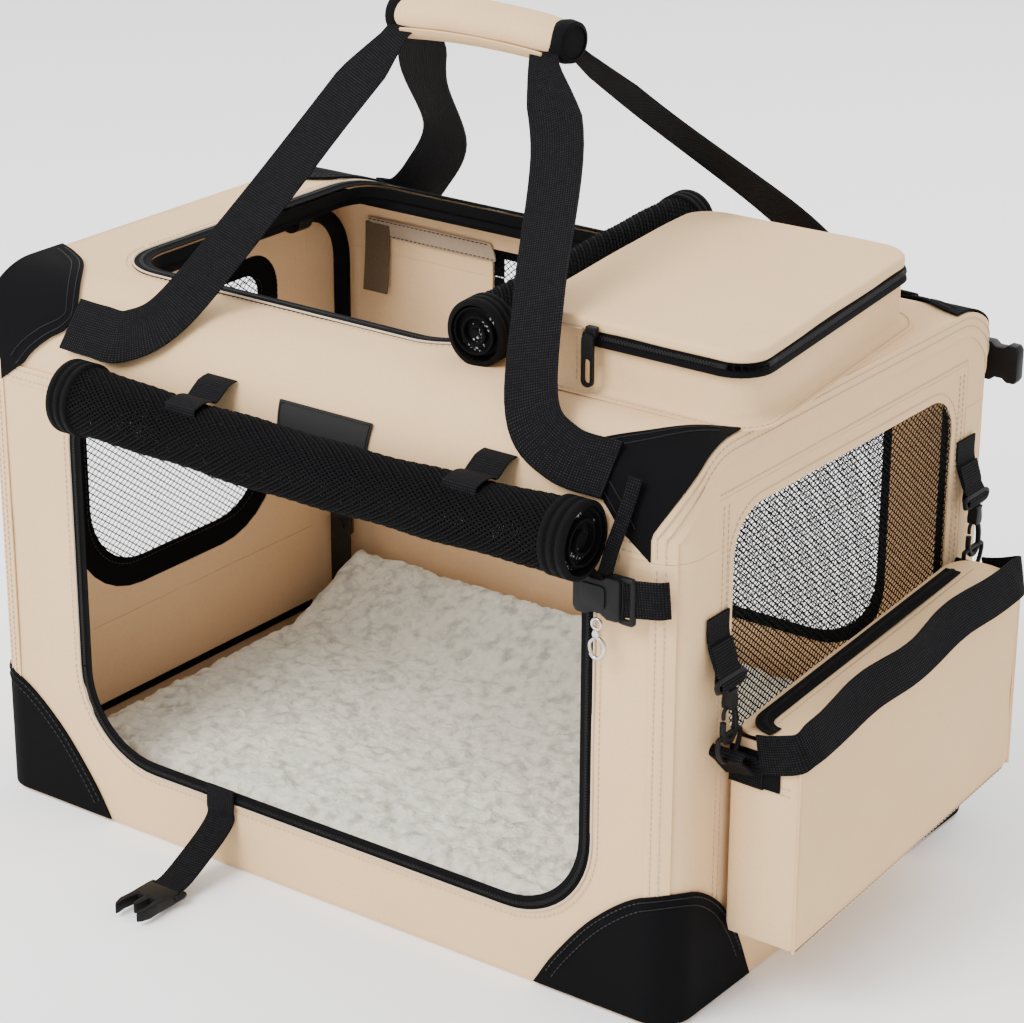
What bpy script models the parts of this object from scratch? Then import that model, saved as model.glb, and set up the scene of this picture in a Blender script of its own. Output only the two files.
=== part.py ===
"""Soft-sided folding pet carrier bag: steel tube frame, fabric panels, straps, pocket and pouch.

Metres, +Z up. The origin is the centre of the base's underside, +X points to the end that
carries the pouch, and -Y points to the front doorway. Every object is one sub-part.
"""
import math

import bmesh
import bpy
from mathutils import Matrix, Vector

# ---- driving dimensions -------------------------------------------------------------------
LENGTH = 0.600            # outer length along X
WIDTH = 0.400             # outer width along Y
HEIGHT = 0.400            # floor to roof
PLAN_RADIUS = 0.040       # vertical corners, seen from above
SHOULDER_RADIUS = 0.055   # roof edges along X, seen from the end
CLOTH = 0.003             # padded fabric wall
GAP = 0.0003              # clearance between neighbouring pieces
BAND_Z = 0.328            # seam between the walls and the roof cap
END_TOP_Z = 0.360         # upper edge of the folding end panels
END_HALF_WIDTH = 0.158    # half width of the folding end panels

TUBE_R = 0.006            # steel frame tube
HOOP_X = 0.280            # plane of each end hoop
HOOP_Y = 0.182            # legs of each hoop
HOOP_TOP_Z = 0.368        # crossbar of each hoop
HOOP_BEND = 0.045
LEFT_PIVOT_Z = 0.092      # the left hoop folds on top of the right one
RIGHT_PIVOT_Z = 0.050
RAIL_Y = 0.165
RAIL_Z = 0.381
RAIL_R = 0.005

PAD_TOP_Z = 0.042
DOOR_X = (-0.215, 0.235)  # front doorway
DOOR_Z = (0.052, 0.3269)
DOOR_RADIUS = 0.068
TOP_X = (-0.245, 0.075)   # roof opening
TOP_Y = (-0.122, 0.172)
TOP_RADIUS = 0.045
SIDE_DOOR_HALF = 0.126    # left end door
SIDE_DOOR_Z = (0.108, 0.3445)
SIDE_DOOR_HINGE_Z = 0.345
WINDOW_HALF = 0.140       # right end window
WINDOW_Z = (0.090, 0.345)

POCKET_X = (0.118, 0.288)
POCKET_Y = (-0.131, 0.116)
POCKET_TOP_Z = 0.440
LID_TOP_Z = 0.449
LID_HINGE_X = 0.180
PULL_X = 0.188             # the pocket zip's slider and pull, in front of the lid
PULL_Y = POCKET_Y[0] - 0.0116

ROLL_X = 0.080             # rolled roof door
ROLL_Y = 0.012
ROLL_R = 0.0205

POUCH_X = (0.3045, 0.3580)
POUCH_HALF = 0.144
POUCH_Z = (0.052, 0.200)
RING_Z = 0.205            # upper bar of the pouch's D rings
RING_X = 0.312
RING_Y = 0.1585

GRIP_Z = 0.585
GRIP_HALF = 0.075
GRIP_R = 0.015
WEB_WIDE = 0.038
WEB_NARROW = 0.025
WEB_THICK = 0.0024

COLLECTION = bpy.data.collections.new("pet_carrier_bag")
CUTTERS = bpy.data.collections.new("cutters")


# ---- materials ----------------------------------------------------------------------------
def material(name, colour, roughness, metallic=0.0):
    made = bpy.data.materials.new(name)
    made.use_nodes = True
    shader = made.node_tree.nodes["Principled BSDF"]
    shader.inputs["Base Color"].default_value = (*colour, 1.0)
    shader.inputs["Roughness"].default_value = roughness
    shader.inputs["Metallic"].default_value = metallic
    return made


def make_materials():
    return {
        "fabric": material("fabric_beige", (0.62, 0.48, 0.33), 0.85),
        "lining": material("lining_tan", (0.55, 0.40, 0.25), 0.85),
        "patch": material("patch_black", (0.012, 0.012, 0.014), 0.8),
        "webbing": material("webbing_black", (0.010, 0.010, 0.011), 0.7),
        "net": material("net_black", (0.015, 0.015, 0.016), 0.6),
        "plastic": material("plastic_black", (0.015, 0.015, 0.016), 0.4),
        "steel": material("steel_painted_black", (0.02, 0.02, 0.02), 0.35, 0.6),
        "chrome": material("metal_bright", (0.75, 0.75, 0.76), 0.25, 1.0),
        "fleece": material("fleece_white", (0.82, 0.79, 0.70), 0.95),
    }


# ---- making helpers -----------------------------------------------------------------------
def link(name, mesh, finish=None, cutter=False):
    made = bpy.data.objects.new(name, mesh)
    (CUTTERS if cutter else COLLECTION).objects.link(made)
    if cutter:
        made.hide_render = True
        made.display_type = "WIRE"
    else:
        mesh.materials.append(finish)
    return made


def box(name, low, high, finish=None, cutter=False, soften=0.0):
    """A box between two corners, with its edges rounded by soften."""
    size = [b - a for a, b in zip(low, high)]
    centre = [(a + b) / 2 for a, b in zip(low, high)]
    mesh = bpy.data.meshes.new(name)
    form = bmesh.new()
    bmesh.ops.create_cube(form, size=1.0, matrix=Matrix.Translation(centre) @ Matrix.Diagonal((*size, 1)))
    form.to_mesh(mesh)
    form.free()
    made = link(name, mesh, finish, cutter)
    if soften:
        edge = made.modifiers.new("soften", "BEVEL")
        edge.width = soften
        edge.segments = 2
    return made


def rod(name, centre, axis, radius, length, finish=None, cutter=False, sides=20):
    """A round bar centred on a point."""
    mesh = bpy.data.meshes.new(name)
    form = bmesh.new()
    turn = Vector((0, 0, 1)).rotation_difference(Vector(axis)).to_matrix().to_4x4()
    bmesh.ops.create_cone(form, cap_ends=True, segments=sides, radius1=radius, radius2=radius,
                          depth=length, matrix=Matrix.Translation(centre) @ turn)
    form.to_mesh(mesh)
    form.free()
    return link(name, mesh, finish, cutter)


def corner_arc(centre, radius, start, stop, steps=6):
    """Points on an arc in a plane, angles in degrees."""
    angles = [math.radians(start + (stop - start) * i / steps) for i in range(steps + 1)]
    return [(centre[0] + radius * math.cos(a), centre[1] + radius * math.sin(a)) for a in angles]


def rounded_outline(low, high, radii, steps=6):
    """A rectangle with its own radius at each corner: low-low, high-low, high-high, low-high."""
    corners = [(low[0], low[1], 180), (high[0], low[1], 270), (high[0], high[1], 0), (low[0], high[1], 90)]
    points = []
    for (x, y, start), radius in zip(corners, radii):
        if radius <= 0:
            points.append((x, y))
            continue
        inward_x = radius if x == low[0] else -radius
        inward_y = radius if y == low[1] else -radius
        points += corner_arc((x + inward_x, y + inward_y), radius, start, start + 90, steps)
    return points


# Each axis maps the outline's two coordinates to the world: X uses (y, z), Y uses (x, z).
OUTLINE_FRAMES = {
    "X": Matrix(((0, 0, 1, 0), (1, 0, 0, 0), (0, 1, 0, 0), (0, 0, 0, 1))),
    "Y": Matrix(((1, 0, 0, 0), (0, 0, -1, 0), (0, 1, 0, 0), (0, 0, 0, 1))),
    "Z": Matrix.Identity(4),
}


def curve_mesh(name, curve):
    """The mesh of a curve, with its caps welded on."""
    holder = bpy.data.objects.new(name + "_curve", curve)
    COLLECTION.objects.link(holder)
    depsgraph = bpy.context.evaluated_depsgraph_get()
    mesh = bpy.data.meshes.new_from_object(holder.evaluated_get(depsgraph))
    bpy.data.objects.remove(holder)
    form = bmesh.new()
    form.from_mesh(mesh)
    bmesh.ops.remove_doubles(form, verts=form.verts, dist=0.00001)
    bmesh.ops.recalc_face_normals(form, faces=form.faces)
    form.to_mesh(mesh)
    form.free()
    mesh.name = name
    mesh.materials.clear()
    return mesh


def plate(name, outline, axis, low, high, finish=None, cutter=False):
    """A flat outline given thickness between two planes across an axis."""
    curve = bpy.data.curves.new(name, "CURVE")
    curve.dimensions = "2D"
    curve.fill_mode = "BOTH"
    curve.extrude = (high - low) / 2
    spline = curve.splines.new("POLY")
    spline.points.add(len(outline) - 1)
    for point, (u, v) in zip(spline.points, outline):
        point.co = (u, v, 0, 1)
    spline.use_cyclic_u = True
    mesh = curve_mesh(name, curve)
    middle = (high + low) / 2
    offset = {"X": (middle, 0, 0), "Y": (0, middle, 0), "Z": (0, 0, middle)}[axis]
    mesh.transform(Matrix.Translation(offset) @ OUTLINE_FRAMES[axis])
    return link(name, mesh, finish, cutter)


def tube(name, points, radius, finish=None, closed=False, cutter=False, sides=2):
    """A round tube along a list of points."""
    curve = bpy.data.curves.new(name, "CURVE")
    curve.dimensions = "3D"
    curve.bevel_depth = radius
    curve.bevel_resolution = sides
    curve.use_fill_caps = True
    spline = curve.splines.new("POLY")
    spline.points.add(len(points) - 1)
    for point, place in zip(spline.points, points):
        point.co = (*place, 1)
    spline.use_cyclic_u = closed
    return link(name, curve_mesh(name, curve), finish, cutter)


def strip(name, centres, across, thickness, width, finish):
    """A flat strap: a ribbon through the centres, each with its own direction across."""
    mesh = bpy.data.meshes.new(name)
    form = bmesh.new()
    pairs = []
    for centre, direction in zip(centres, across):
        half = Vector(direction).normalized() * width / 2
        pairs.append((form.verts.new(Vector(centre) - half), form.verts.new(Vector(centre) + half)))
    for (a, b), (c, d) in zip(pairs, pairs[1:]):
        form.faces.new((a, b, d, c))
    form.to_mesh(mesh)
    form.free()
    made = link(name, mesh, finish)
    depth = made.modifiers.new("thickness", "SOLIDIFY")
    depth.thickness = thickness
    depth.offset = 0
    return made


def combine(target, other, operation):
    step = target.modifiers.new(operation.lower(), "BOOLEAN")
    step.operation = operation
    step.solver = "EXACT"
    step.object = other


def unite(target, *others):
    for other in others:
        combine(target, other, "UNION")
    return target


def cut(target, *others):
    for other in others:
        combine(target, other, "DIFFERENCE")
    return target


def put_origin(target, place):
    """Move an object's origin onto its joint axis and leave its shape where it is."""
    target.data.transform(Matrix.Translation(-Vector(place)))
    target.location = place


# ---- the bag's outer form -----------------------------------------------------------------
def bag_form(name, offset, steps=8):
    """The bag's rounded block, grown outward by offset: a plan outline crossed with an end profile."""
    half_x = LENGTH / 2 + offset
    half_y = WIDTH / 2 + offset
    top = HEIGHT + offset
    plan_radius = PLAN_RADIUS + offset
    shoulder = SHOULDER_RADIUS + offset
    plan = plate(name, rounded_outline((-half_x, -half_y), (half_x, half_y), [plan_radius] * 4, steps),
                 "Z", -0.05, top + 0.05, cutter=True)
    profile = plate(name + "_profile",
                    rounded_outline((-half_y, -0.04), (half_y, top), [0, 0, shoulder, shoulder], steps),
                    "X", -half_x - 0.05, half_x + 0.05, cutter=True)
    combine(plan, profile, "INTERSECT")
    return plan


def panel(name, low, high, forms, finish):
    """The part of the fabric shell inside a box."""
    made = box(name, low, high, finish)
    combine(made, forms["outer"], "INTERSECT")
    cut(made, forms["inner"])
    return made


def make_root_panels(forms, mats):
    plate("floor_panel", rounded_outline((-LENGTH / 2, -WIDTH / 2), (LENGTH / 2, WIDTH / 2),
                                         [PLAN_RADIUS] * 4, 8), "Z", 0.0, CLOTH, mats["fabric"])
    low_z = CLOTH + GAP
    far = 0.32
    for name, side, top in (("left_sill_panel", -1, LEFT_PIVOT_Z), ("right_sill_panel", 1, RIGHT_PIVOT_Z)):
        ends = sorted((side * 0.27, side * far))
        panel(name, (ends[0], -END_HALF_WIDTH, low_z), (ends[1], END_HALF_WIDTH, top - GAP), forms,
              mats["fabric"])
    seam = END_HALF_WIDTH + GAP
    front = panel("front_panel", (-far, -0.22, low_z), (far, -seam, BAND_Z - GAP), forms, mats["fabric"])
    doorway = plate("doorway", rounded_outline((DOOR_X[0], DOOR_Z[0]), (DOOR_X[1], DOOR_Z[1] - 0.012),
                                               [DOOR_RADIUS, DOOR_RADIUS, 0.02, 0.02]),
                    "Y", -0.25, -0.17, cutter=True)
    cut(front, doorway)
    panel("back_panel", (-far, seam, low_z), (far, 0.22, BAND_Z - GAP), forms, mats["fabric"])
    pad = plate("fleece_pad", rounded_outline((-0.271, -0.168), (0.271, 0.168), [0.03] * 4, 4),
                "Z", CLOTH + GAP, PAD_TOP_Z, mats["fleece"])
    edge = pad.modifiers.new("soften", "BEVEL")
    edge.width = 0.006
    edge.segments = 2
    edge.angle_limit = math.radians(50)


def make_roof(forms, mats):
    """The roof cap: band, shoulders, roof and the upper part of each end."""
    roof = box("top_panel", (-0.32, -0.22, BAND_Z), (0.32, 0.22, 0.42), mats["fabric"])
    combine(roof, forms["outer"], "INTERSECT")
    opening = plate("roof_opening", rounded_outline((TOP_X[0], TOP_Y[0]), (TOP_X[1], TOP_Y[1]),
                                                    [TOP_RADIUS] * 4), "Z", 0.38, 0.42, cutter=True)
    cut(roof, forms["inner"], opening)
    for side in (-1, 1):
        ends = sorted((side * 0.27, side * 0.33))
        notch = box("end_notch", (ends[0], -END_HALF_WIDTH - GAP, 0.30),
                    (ends[1], END_HALF_WIDTH + GAP, END_TOP_Z + GAP), cutter=True)
        cut(roof, notch)


def make_end_panels(forms, mats):
    left = panel("left_end_panel", (-0.32, -END_HALF_WIDTH, LEFT_PIVOT_Z), (-0.28, END_HALF_WIDTH, END_TOP_Z),
                 forms, mats["fabric"])
    low, high = SIDE_DOOR_Z
    gap = 0.0005
    radii = [0.075, 0.075, 0.03, 0.03]
    hole = plate("side_doorway", rounded_outline((-SIDE_DOOR_HALF - gap, low - gap),
                                                 (SIDE_DOOR_HALF + gap, SIDE_DOOR_HINGE_Z + 0.002), radii),
                 "X", -0.33, -0.27, cutter=True)
    cut(left, hole)
    door = plate("left_mesh_door", rounded_outline((-SIDE_DOOR_HALF, low), (SIDE_DOOR_HALF, high), radii),
                 "X", -0.2995, -0.2975, mats["net"])
    put_origin(door, (-0.2985, 0, SIDE_DOOR_HINGE_Z))

    right = panel("right_end_panel", (0.28, -END_HALF_WIDTH, RIGHT_PIVOT_Z), (0.32, END_HALF_WIDTH, END_TOP_Z),
                  forms, mats["fabric"])
    low, high = WINDOW_Z
    hole = plate("window", rounded_outline((-WINDOW_HALF, low), (WINDOW_HALF, high), [0.03] * 4),
                 "X", 0.27, 0.33, cutter=True)
    cut(right, hole)
    plate("right_window_net", rounded_outline((-WINDOW_HALF + GAP, low + GAP),
                                              (WINDOW_HALF - GAP, high - GAP), [0.03] * 4),
          "X", 0.2978, 0.2992, mats["net"])


# ---- corner patches -----------------------------------------------------------------------
def corner_region(name, side_x, side_y, reach_x, reach_y, z_low, z_high, flip):
    """A tapering block at one corner. It is widest at z_low, or at z_high when flip is True."""
    corner = (side_x * LENGTH / 2, side_y * WIDTH / 2)
    proud = 0.03
    levels = 5
    mesh = bpy.data.meshes.new(name)
    form = bmesh.new()
    rings = []
    for level in range(levels + 1):
        t = level / levels
        spread = 1 - (1 - t if flip else t) ** 1.3
        spread = max(spread, 0.02)
        x_in = corner[0] - side_x * reach_x * spread
        y_in = corner[1] - side_y * reach_y * spread
        x_out = corner[0] + side_x * proud
        y_out = corner[1] + side_y * proud
        z = z_low + (z_high - z_low) * t
        rings.append([form.verts.new(p) for p in
                      ((x_in, y_in, z), (x_out, y_in, z), (x_out, y_out, z), (x_in, y_out, z))])
    for lower, upper in zip(rings, rings[1:]):
        for i in range(4):
            j = (i + 1) % 4
            form.faces.new((lower[i], lower[j], upper[j], upper[i]))
    form.faces.new(rings[0])
    form.faces.new(rings[-1])
    bmesh.ops.recalc_face_normals(form, faces=form.faces)
    form.to_mesh(mesh)
    form.free()
    return link(name, mesh, cutter=True)


def make_patches(mats):
    """Thin reinforcing patches, lying just outside the shell at its eight corners."""
    skin = bag_form("patch_outside", 0.0015)
    under = bag_form("patch_inside", GAP)
    sides = (("front_left", -1, -1), ("front_right", 1, -1), ("back_right", 1, 1), ("back_left", -1, 1))
    for word, side_x, side_y in sides:
        foot = corner_region("foot_region_" + word, side_x, side_y, 0.112, 0.098, 0.002, 0.098, False)
        crown_reach = 0.086 if side_x < 0 else 0.047   # the pocket leaves less room on the right
        crown = corner_region("crown_region_" + word, side_x, side_y, 0.088, crown_reach, BAND_Z + 0.004,
                              0.41, True)
        for name, region in (("foot_patch_" + word, foot), ("crown_patch_" + word, crown)):
            low = (min(side_x * 0.16, side_x * 0.31), min(side_y * 0.08, side_y * 0.21), 0.001)
            high = (max(side_x * 0.16, side_x * 0.31), max(side_y * 0.08, side_y * 0.21), 0.41)
            patch = box(name, low, high, mats["patch"])
            combine(patch, region, "INTERSECT")
            combine(patch, skin, "INTERSECT")
            cut(patch, under)


# ---- steel frame --------------------------------------------------------------------------
def make_frame(mats):
    loop = [(x, y, 0.0120) for x, y in rounded_outline((-0.284, -0.184), (0.284, 0.184), [0.03] * 4, 5)]
    tube("base_tube_loop", loop, TUBE_R, mats["steel"], closed=True)
    for word, side, pivot_z in (("left", -1, LEFT_PIVOT_Z), ("right", 1, RIGHT_PIVOT_Z)):
        x = side * HOOP_X
        arch = rounded_outline((-HOOP_Y, pivot_z - 0.010), (HOOP_Y, HOOP_TOP_Z), [0, 0, HOOP_BEND, HOOP_BEND])
        path = [(x, y, z) for y, z in arch[1:] + arch[:1]]
        hoop = tube(word + "_hoop", path, TUBE_R, mats["steel"], sides=3)
        holes = [rod("pivot_hole", (x, y, pivot_z), (0, 1, 0), 0.0030, 0.03, cutter=True)
                 for y in (-HOOP_Y, HOOP_Y)]
        cut(hoop, *holes)
        put_origin(hoop, (x, 0, pivot_z))
        for end, side_y in (("front", -1), ("back", 1)):
            make_hinge_bracket("hinge_bracket_%s_%s" % (word, end), x, side_y, pivot_z, mats["steel"])


def make_hinge_bracket(name, x, side_y, pivot_z, finish):
    """An L bracket on the base tube, with the rivet that a hoop leg turns on."""
    inner, outer = 0.1735, 0.1755
    span = sorted((side_y * inner, side_y * outer))
    upright = box(name, (x - 0.010, span[0], 0.0186), (x + 0.010, span[1], pivot_z + 0.011), finish)
    foot_span = sorted((side_y * inner, side_y * 0.187))
    foot_x = sorted((x, x - math.copysign(0.016, x)))
    tab = box("bracket_tab", (foot_x[0], foot_span[0], 0.0186), (foot_x[1], foot_span[1], 0.0206), cutter=True)
    pin = rod("rivet_pin", (x, side_y * 0.1808, pivot_z), (0, 1, 0), 0.0024, 0.0158, cutter=True)
    head = rod("rivet_head", (x, side_y * 0.1729, pivot_z), (0, 1, 0), 0.0048, 0.0022, cutter=True)
    unite(upright, tab, pin, head)


def make_rails(mats):
    """Top rails that lie on the hoops' crossbars, and the runners on the left crossbar."""
    for end, side_y in (("front", -1), ("back", 1)):
        y = side_y * RAIL_Y
        hook_x, bend = 0.2915, 0.012
        turn = corner_arc((hook_x - bend, RAIL_Z - bend), bend, 90, 0, 4)
        path = [(-0.291, y, RAIL_Z)] + [(x, y, z) for x, z in turn] + [(hook_x, y, 0.354)]
        tube("top_rail_" + end, path, RAIL_R, mats["steel"])

        ring_y = side_y * 0.126
        ring = rod("rail_runner_" + end, (-HOOP_X, ring_y, HOOP_TOP_Z), (0, 1, 0), 0.0110, 0.016,
                   mats["plastic"])
        tab_y = sorted((side_y * 0.118, side_y * 0.1593))
        tab = box("runner_tab", (-0.276, tab_y[0], 0.3755), (-0.254, tab_y[1], 0.387), cutter=True)
        bore = rod("runner_bore", (-HOOP_X, ring_y, HOOP_TOP_Z), (0, 1, 0), TUBE_R + 0.0004, 0.05, cutter=True)
        unite(ring, tab)
        cut(ring, bore)
        ring.data.transform(Matrix.Translation((HOOP_X, 0, -HOOP_TOP_Z)))
        ring.location = (-HOOP_X, 0, HOOP_TOP_Z)


# ---- rolled mesh doors --------------------------------------------------------------------
def make_rolls(mats):
    rod("front_door_roll", (0.030, -0.2262, 0.343), (1, 0, 0), 0.0245, 0.430, mats["net"])
    rod("top_door_roll", (ROLL_X, ROLL_Y, HEIGHT + ROLL_R + 0.0008), (0, 1, 0), ROLL_R, 0.300, mats["net"])


# ---- roof pocket --------------------------------------------------------------------------
def make_pocket(mats):
    outer = rounded_outline((POCKET_X[0], POCKET_Y[0]), (POCKET_X[1], POCKET_Y[1]), [0.022] * 4, 5)
    wall = 0.003
    inner = rounded_outline((POCKET_X[0] + wall, POCKET_Y[0] + wall),
                            (POCKET_X[1] - wall, POCKET_Y[1] - wall), [0.019] * 4, 5)
    body = plate("pocket_body", outer, "Z", HEIGHT + GAP, POCKET_TOP_Z, mats["fabric"])
    cut(body, plate("pocket_inside", inner, "Z", HEIGHT + 0.0025, 0.46, cutter=True),
        bag_form("pocket_seat", GAP))
    # The fixed strip of the roof of the pocket, left of the lid's fold line.
    bridge = box("pocket_bridge", (POCKET_X[0] + 0.001, POCKET_Y[0] + 0.012, POCKET_TOP_Z - 0.0005),
                 (LID_HINGE_X - 0.0012, POCKET_Y[1] - 0.012, LID_TOP_Z), cutter=True)
    unite(body, bridge)
    over = 0.004
    lid = plate("pocket_lid", rounded_outline((LID_HINGE_X, POCKET_Y[0] - over),
                                              (POCKET_X[1] + over, POCKET_Y[1] + over),
                                              [0, 0.024, 0.024, 0], 5),
                "Z", POCKET_TOP_Z + GAP, LID_TOP_Z, mats["fabric"])
    put_origin(lid, (LID_HINGE_X, 0, LID_TOP_Z + 0.0005))
    make_pocket_pull(mats)


def make_pocket_pull(mats):
    """The pocket's zip slider, and the flat pull that hangs on it."""
    box("pocket_slider", (PULL_X - 0.004, PULL_Y + 0.0023, POCKET_TOP_Z - 0.0015),
        (PULL_X + 0.004, PULL_Y + 0.0070, POCKET_TOP_Z + 0.0055), mats["plastic"], soften=0.0008)
    pull = plate("pocket_pull", rounded_outline((PULL_X - 0.0045, POCKET_TOP_Z - 0.034),
                                                (PULL_X + 0.0045, POCKET_TOP_Z + 0.0015), [0.0042] * 4, 4),
                 "Y", PULL_Y - 0.0010, PULL_Y + 0.0013, mats["plastic"])
    ring_hole = plate("pull_hole", rounded_outline((PULL_X - 0.0024, POCKET_TOP_Z - 0.0315),
                                                   (PULL_X + 0.0024, POCKET_TOP_Z - 0.0150), [0.0023] * 4, 4),
                      "Y", PULL_Y - 0.0085, PULL_Y + 0.0115, cutter=True)
    cut(pull, ring_hole)
    put_origin(pull, (PULL_X, PULL_Y, POCKET_TOP_Z))


# ---- carrying straps and grip -------------------------------------------------------------
def smooth_path(points, steps=3):
    """Catmull-Rom points through a short list of places."""
    ends = [points[0] * 2 - points[1], *points, points[-1] * 2 - points[-2]]
    out = []
    for a, b, c, d in zip(ends, ends[1:], ends[2:], ends[3:]):
        for i in range(steps):
            t = i / steps
            out.append(0.5 * (2 * b + (c - a) * t + (2 * a - 5 * b + 4 * c - d) * t * t
                              + (3 * b - a - 3 * c + d) * t ** 3))
    return out + [points[-1]]


def make_straps(mats):
    # Each strap leaves a crown patch along the shoulder, then rises to the grip.
    routes = {
        "front_left": [(-0.203, -0.1935, 0.378), (-0.165, -0.193, 0.3835), (-0.134, -0.176, 0.400),
                       (-0.112, -0.120, 0.455), (-0.088, -0.055, 0.525), (-0.070, -0.0185, 0.572)],
        "front_right": [(0.243, -0.1935, 0.378), (0.205, -0.193, 0.3835), (0.174, -0.182, 0.402),
                        (0.146, -0.138, 0.462), (0.102, -0.060, 0.528), (0.070, -0.0185, 0.572)],
        "back_right": [(0.243, 0.1935, 0.378), (0.205, 0.193, 0.3835), (0.176, 0.184, 0.402),
                       (0.158, 0.168, 0.455), (0.112, 0.085, 0.525), (0.070, 0.0185, 0.572)],
        "back_left": [(-0.203, 0.1935, 0.378), (-0.165, 0.193, 0.3835), (-0.134, 0.176, 0.400),
                      (-0.112, 0.120, 0.455), (-0.088, 0.055, 0.525), (-0.070, 0.0185, 0.572)],
    }
    # The direction across each strap turns in the shoulder's plane, from up the shoulder to along the grip.
    across = [(0, 0.56, 0.83), (-0.15, 0.55, 0.82), (-0.72, 0.40, 0.57), (-0.97, 0.10, 0.20), (-1, 0, 0),
              (-1, 0, 0)]
    for word, route in routes.items():
        flip_x = -1 if "right" in word else 1
        flip_y = -1 if "back" in word else 1
        places = smooth_path([Vector(p) for p in route])
        turned = smooth_path([Vector((x * flip_x, y * flip_y, z)) for x, y, z in across])
        strip("carry_strap_" + word, places, turned, WEB_THICK, WEB_WIDE, mats["webbing"])
    grip = rod("grip_sleeve", (0, 0, GRIP_Z), (1, 0, 0), GRIP_R, 2 * GRIP_HALF, mats["fabric"], sides=20)
    put_origin(grip, (0, 0, GRIP_Z))
    flap_z = GRIP_Z - 0.006
    flap = plate("grip_flap", corner_arc((0, GRIP_Z), GRIP_R + 0.0028, 205, 335, 8)
                 + corner_arc((0, GRIP_Z), GRIP_R + 0.0006, 335, 205, 8), "X",
                 -0.060, 0.060, mats["fabric"])
    put_origin(flap, (0, -0.0165, flap_z))


# ---- buckles, clasp and sliders -----------------------------------------------------------
def make_buckles(mats):
    # Front socket: a webbing tab sewn to the band's right end, and the socket that it holds.
    strap = [Vector((0.2935, -0.2075, 0.308)), Vector((0.280, -0.2090, 0.306)), Vector((0.266, -0.2105, 0.304))]
    strip("front_socket_webbing", strap, [(0, 0, 1)] * 3, WEB_THICK, WEB_NARROW, mats["webbing"])
    socket = box("front_buckle_socket", (0.2300, -0.2170, 0.2885), (0.2655, -0.2060, 0.3175), mats["plastic"],
                 soften=0.002)
    cut(socket, box("front_socket_mouth", (0.2200, -0.2145, 0.2920), (0.2500, -0.2085, 0.3140), cutter=True))
    rear = box("back_buckle_socket", (0.2825, 0.2070, 0.3325), (0.3125, 0.2180, 0.3615), mats["plastic"],
               soften=0.002)
    cut(rear, box("back_socket_mouth", (0.2950, 0.2095, 0.3360), (0.3200, 0.2155, 0.3580), cutter=True))


def make_plug(word, side_y, x, mats):
    """A plug on its webbing, sewn low on a wall and lying on the ground."""
    y0 = side_y * (WIDTH / 2)
    route = [Vector((x, y0 + side_y * dy, z)) for dy, z in
             ((0.0030, 0.048), (0.0032, 0.036), (0.016, 0.028), (0.034, 0.018), (0.052, 0.0100), (0.064, 0.0080))]
    strap = strip("%s_plug_webbing" % word, smooth_path(route, 2), [(1, 0, 0)] * 11, WEB_THICK, WEB_NARROW,
                  mats["webbing"])
    pivot = (x, y0 + side_y * 0.0032, 0.046)
    put_origin(strap, pivot)
    near, far = y0 + side_y * 0.0646, y0 + side_y * 0.080
    body = box("%s_buckle_plug" % word, (x - 0.014, min(near, far), 0.0015), (x + 0.014, max(near, far), 0.0125),
               mats["plastic"], soften=0.0015)
    prong_near, prong_far = y0 + side_y * 0.079, y0 + side_y * 0.104
    for dx, half in ((-0.0108, 0.0028), (0.0108, 0.0028), (0.0, 0.0022)):
        reach = prong_far if dx else y0 + side_y * 0.096
        prong = box("plug_prong", (x + dx - half, min(prong_near, reach), 0.0035),
                    (x + dx + half, max(prong_near, reach), 0.0105), cutter=True)
        unite(body, prong)
    put_origin(body, pivot)


def make_clasp(mats):
    """A swivel clasp that hangs below the front socket, and the zip slider beside it."""
    x, y = 0.2460, -0.2120
    top = rod("clasp", (x, y, 0.2790), (0, 0, 1), 0.0032, 0.012, mats["chrome"], sides=16)
    eye = [(x + 0.0052 * math.sin(a), y, 0.2685 + 0.0085 * math.cos(a))
           for a in [2 * math.pi * i / 14 for i in range(14)]]
    hook = tube("clasp_hook", eye, 0.0017, closed=True, cutter=True)
    unite(top, hook)
    top.data.transform(Matrix.Translation((-x, -y, -0.2850)))
    top.location = (x, y, 0.2850)
    slider = box("door_slider", (0.2470, -0.2052, 0.3220), (0.2545, -0.2006, 0.3320), mats["chrome"],
                 soften=0.001)
    put_origin(slider, (0.2508, -0.203, 0.327))


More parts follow.
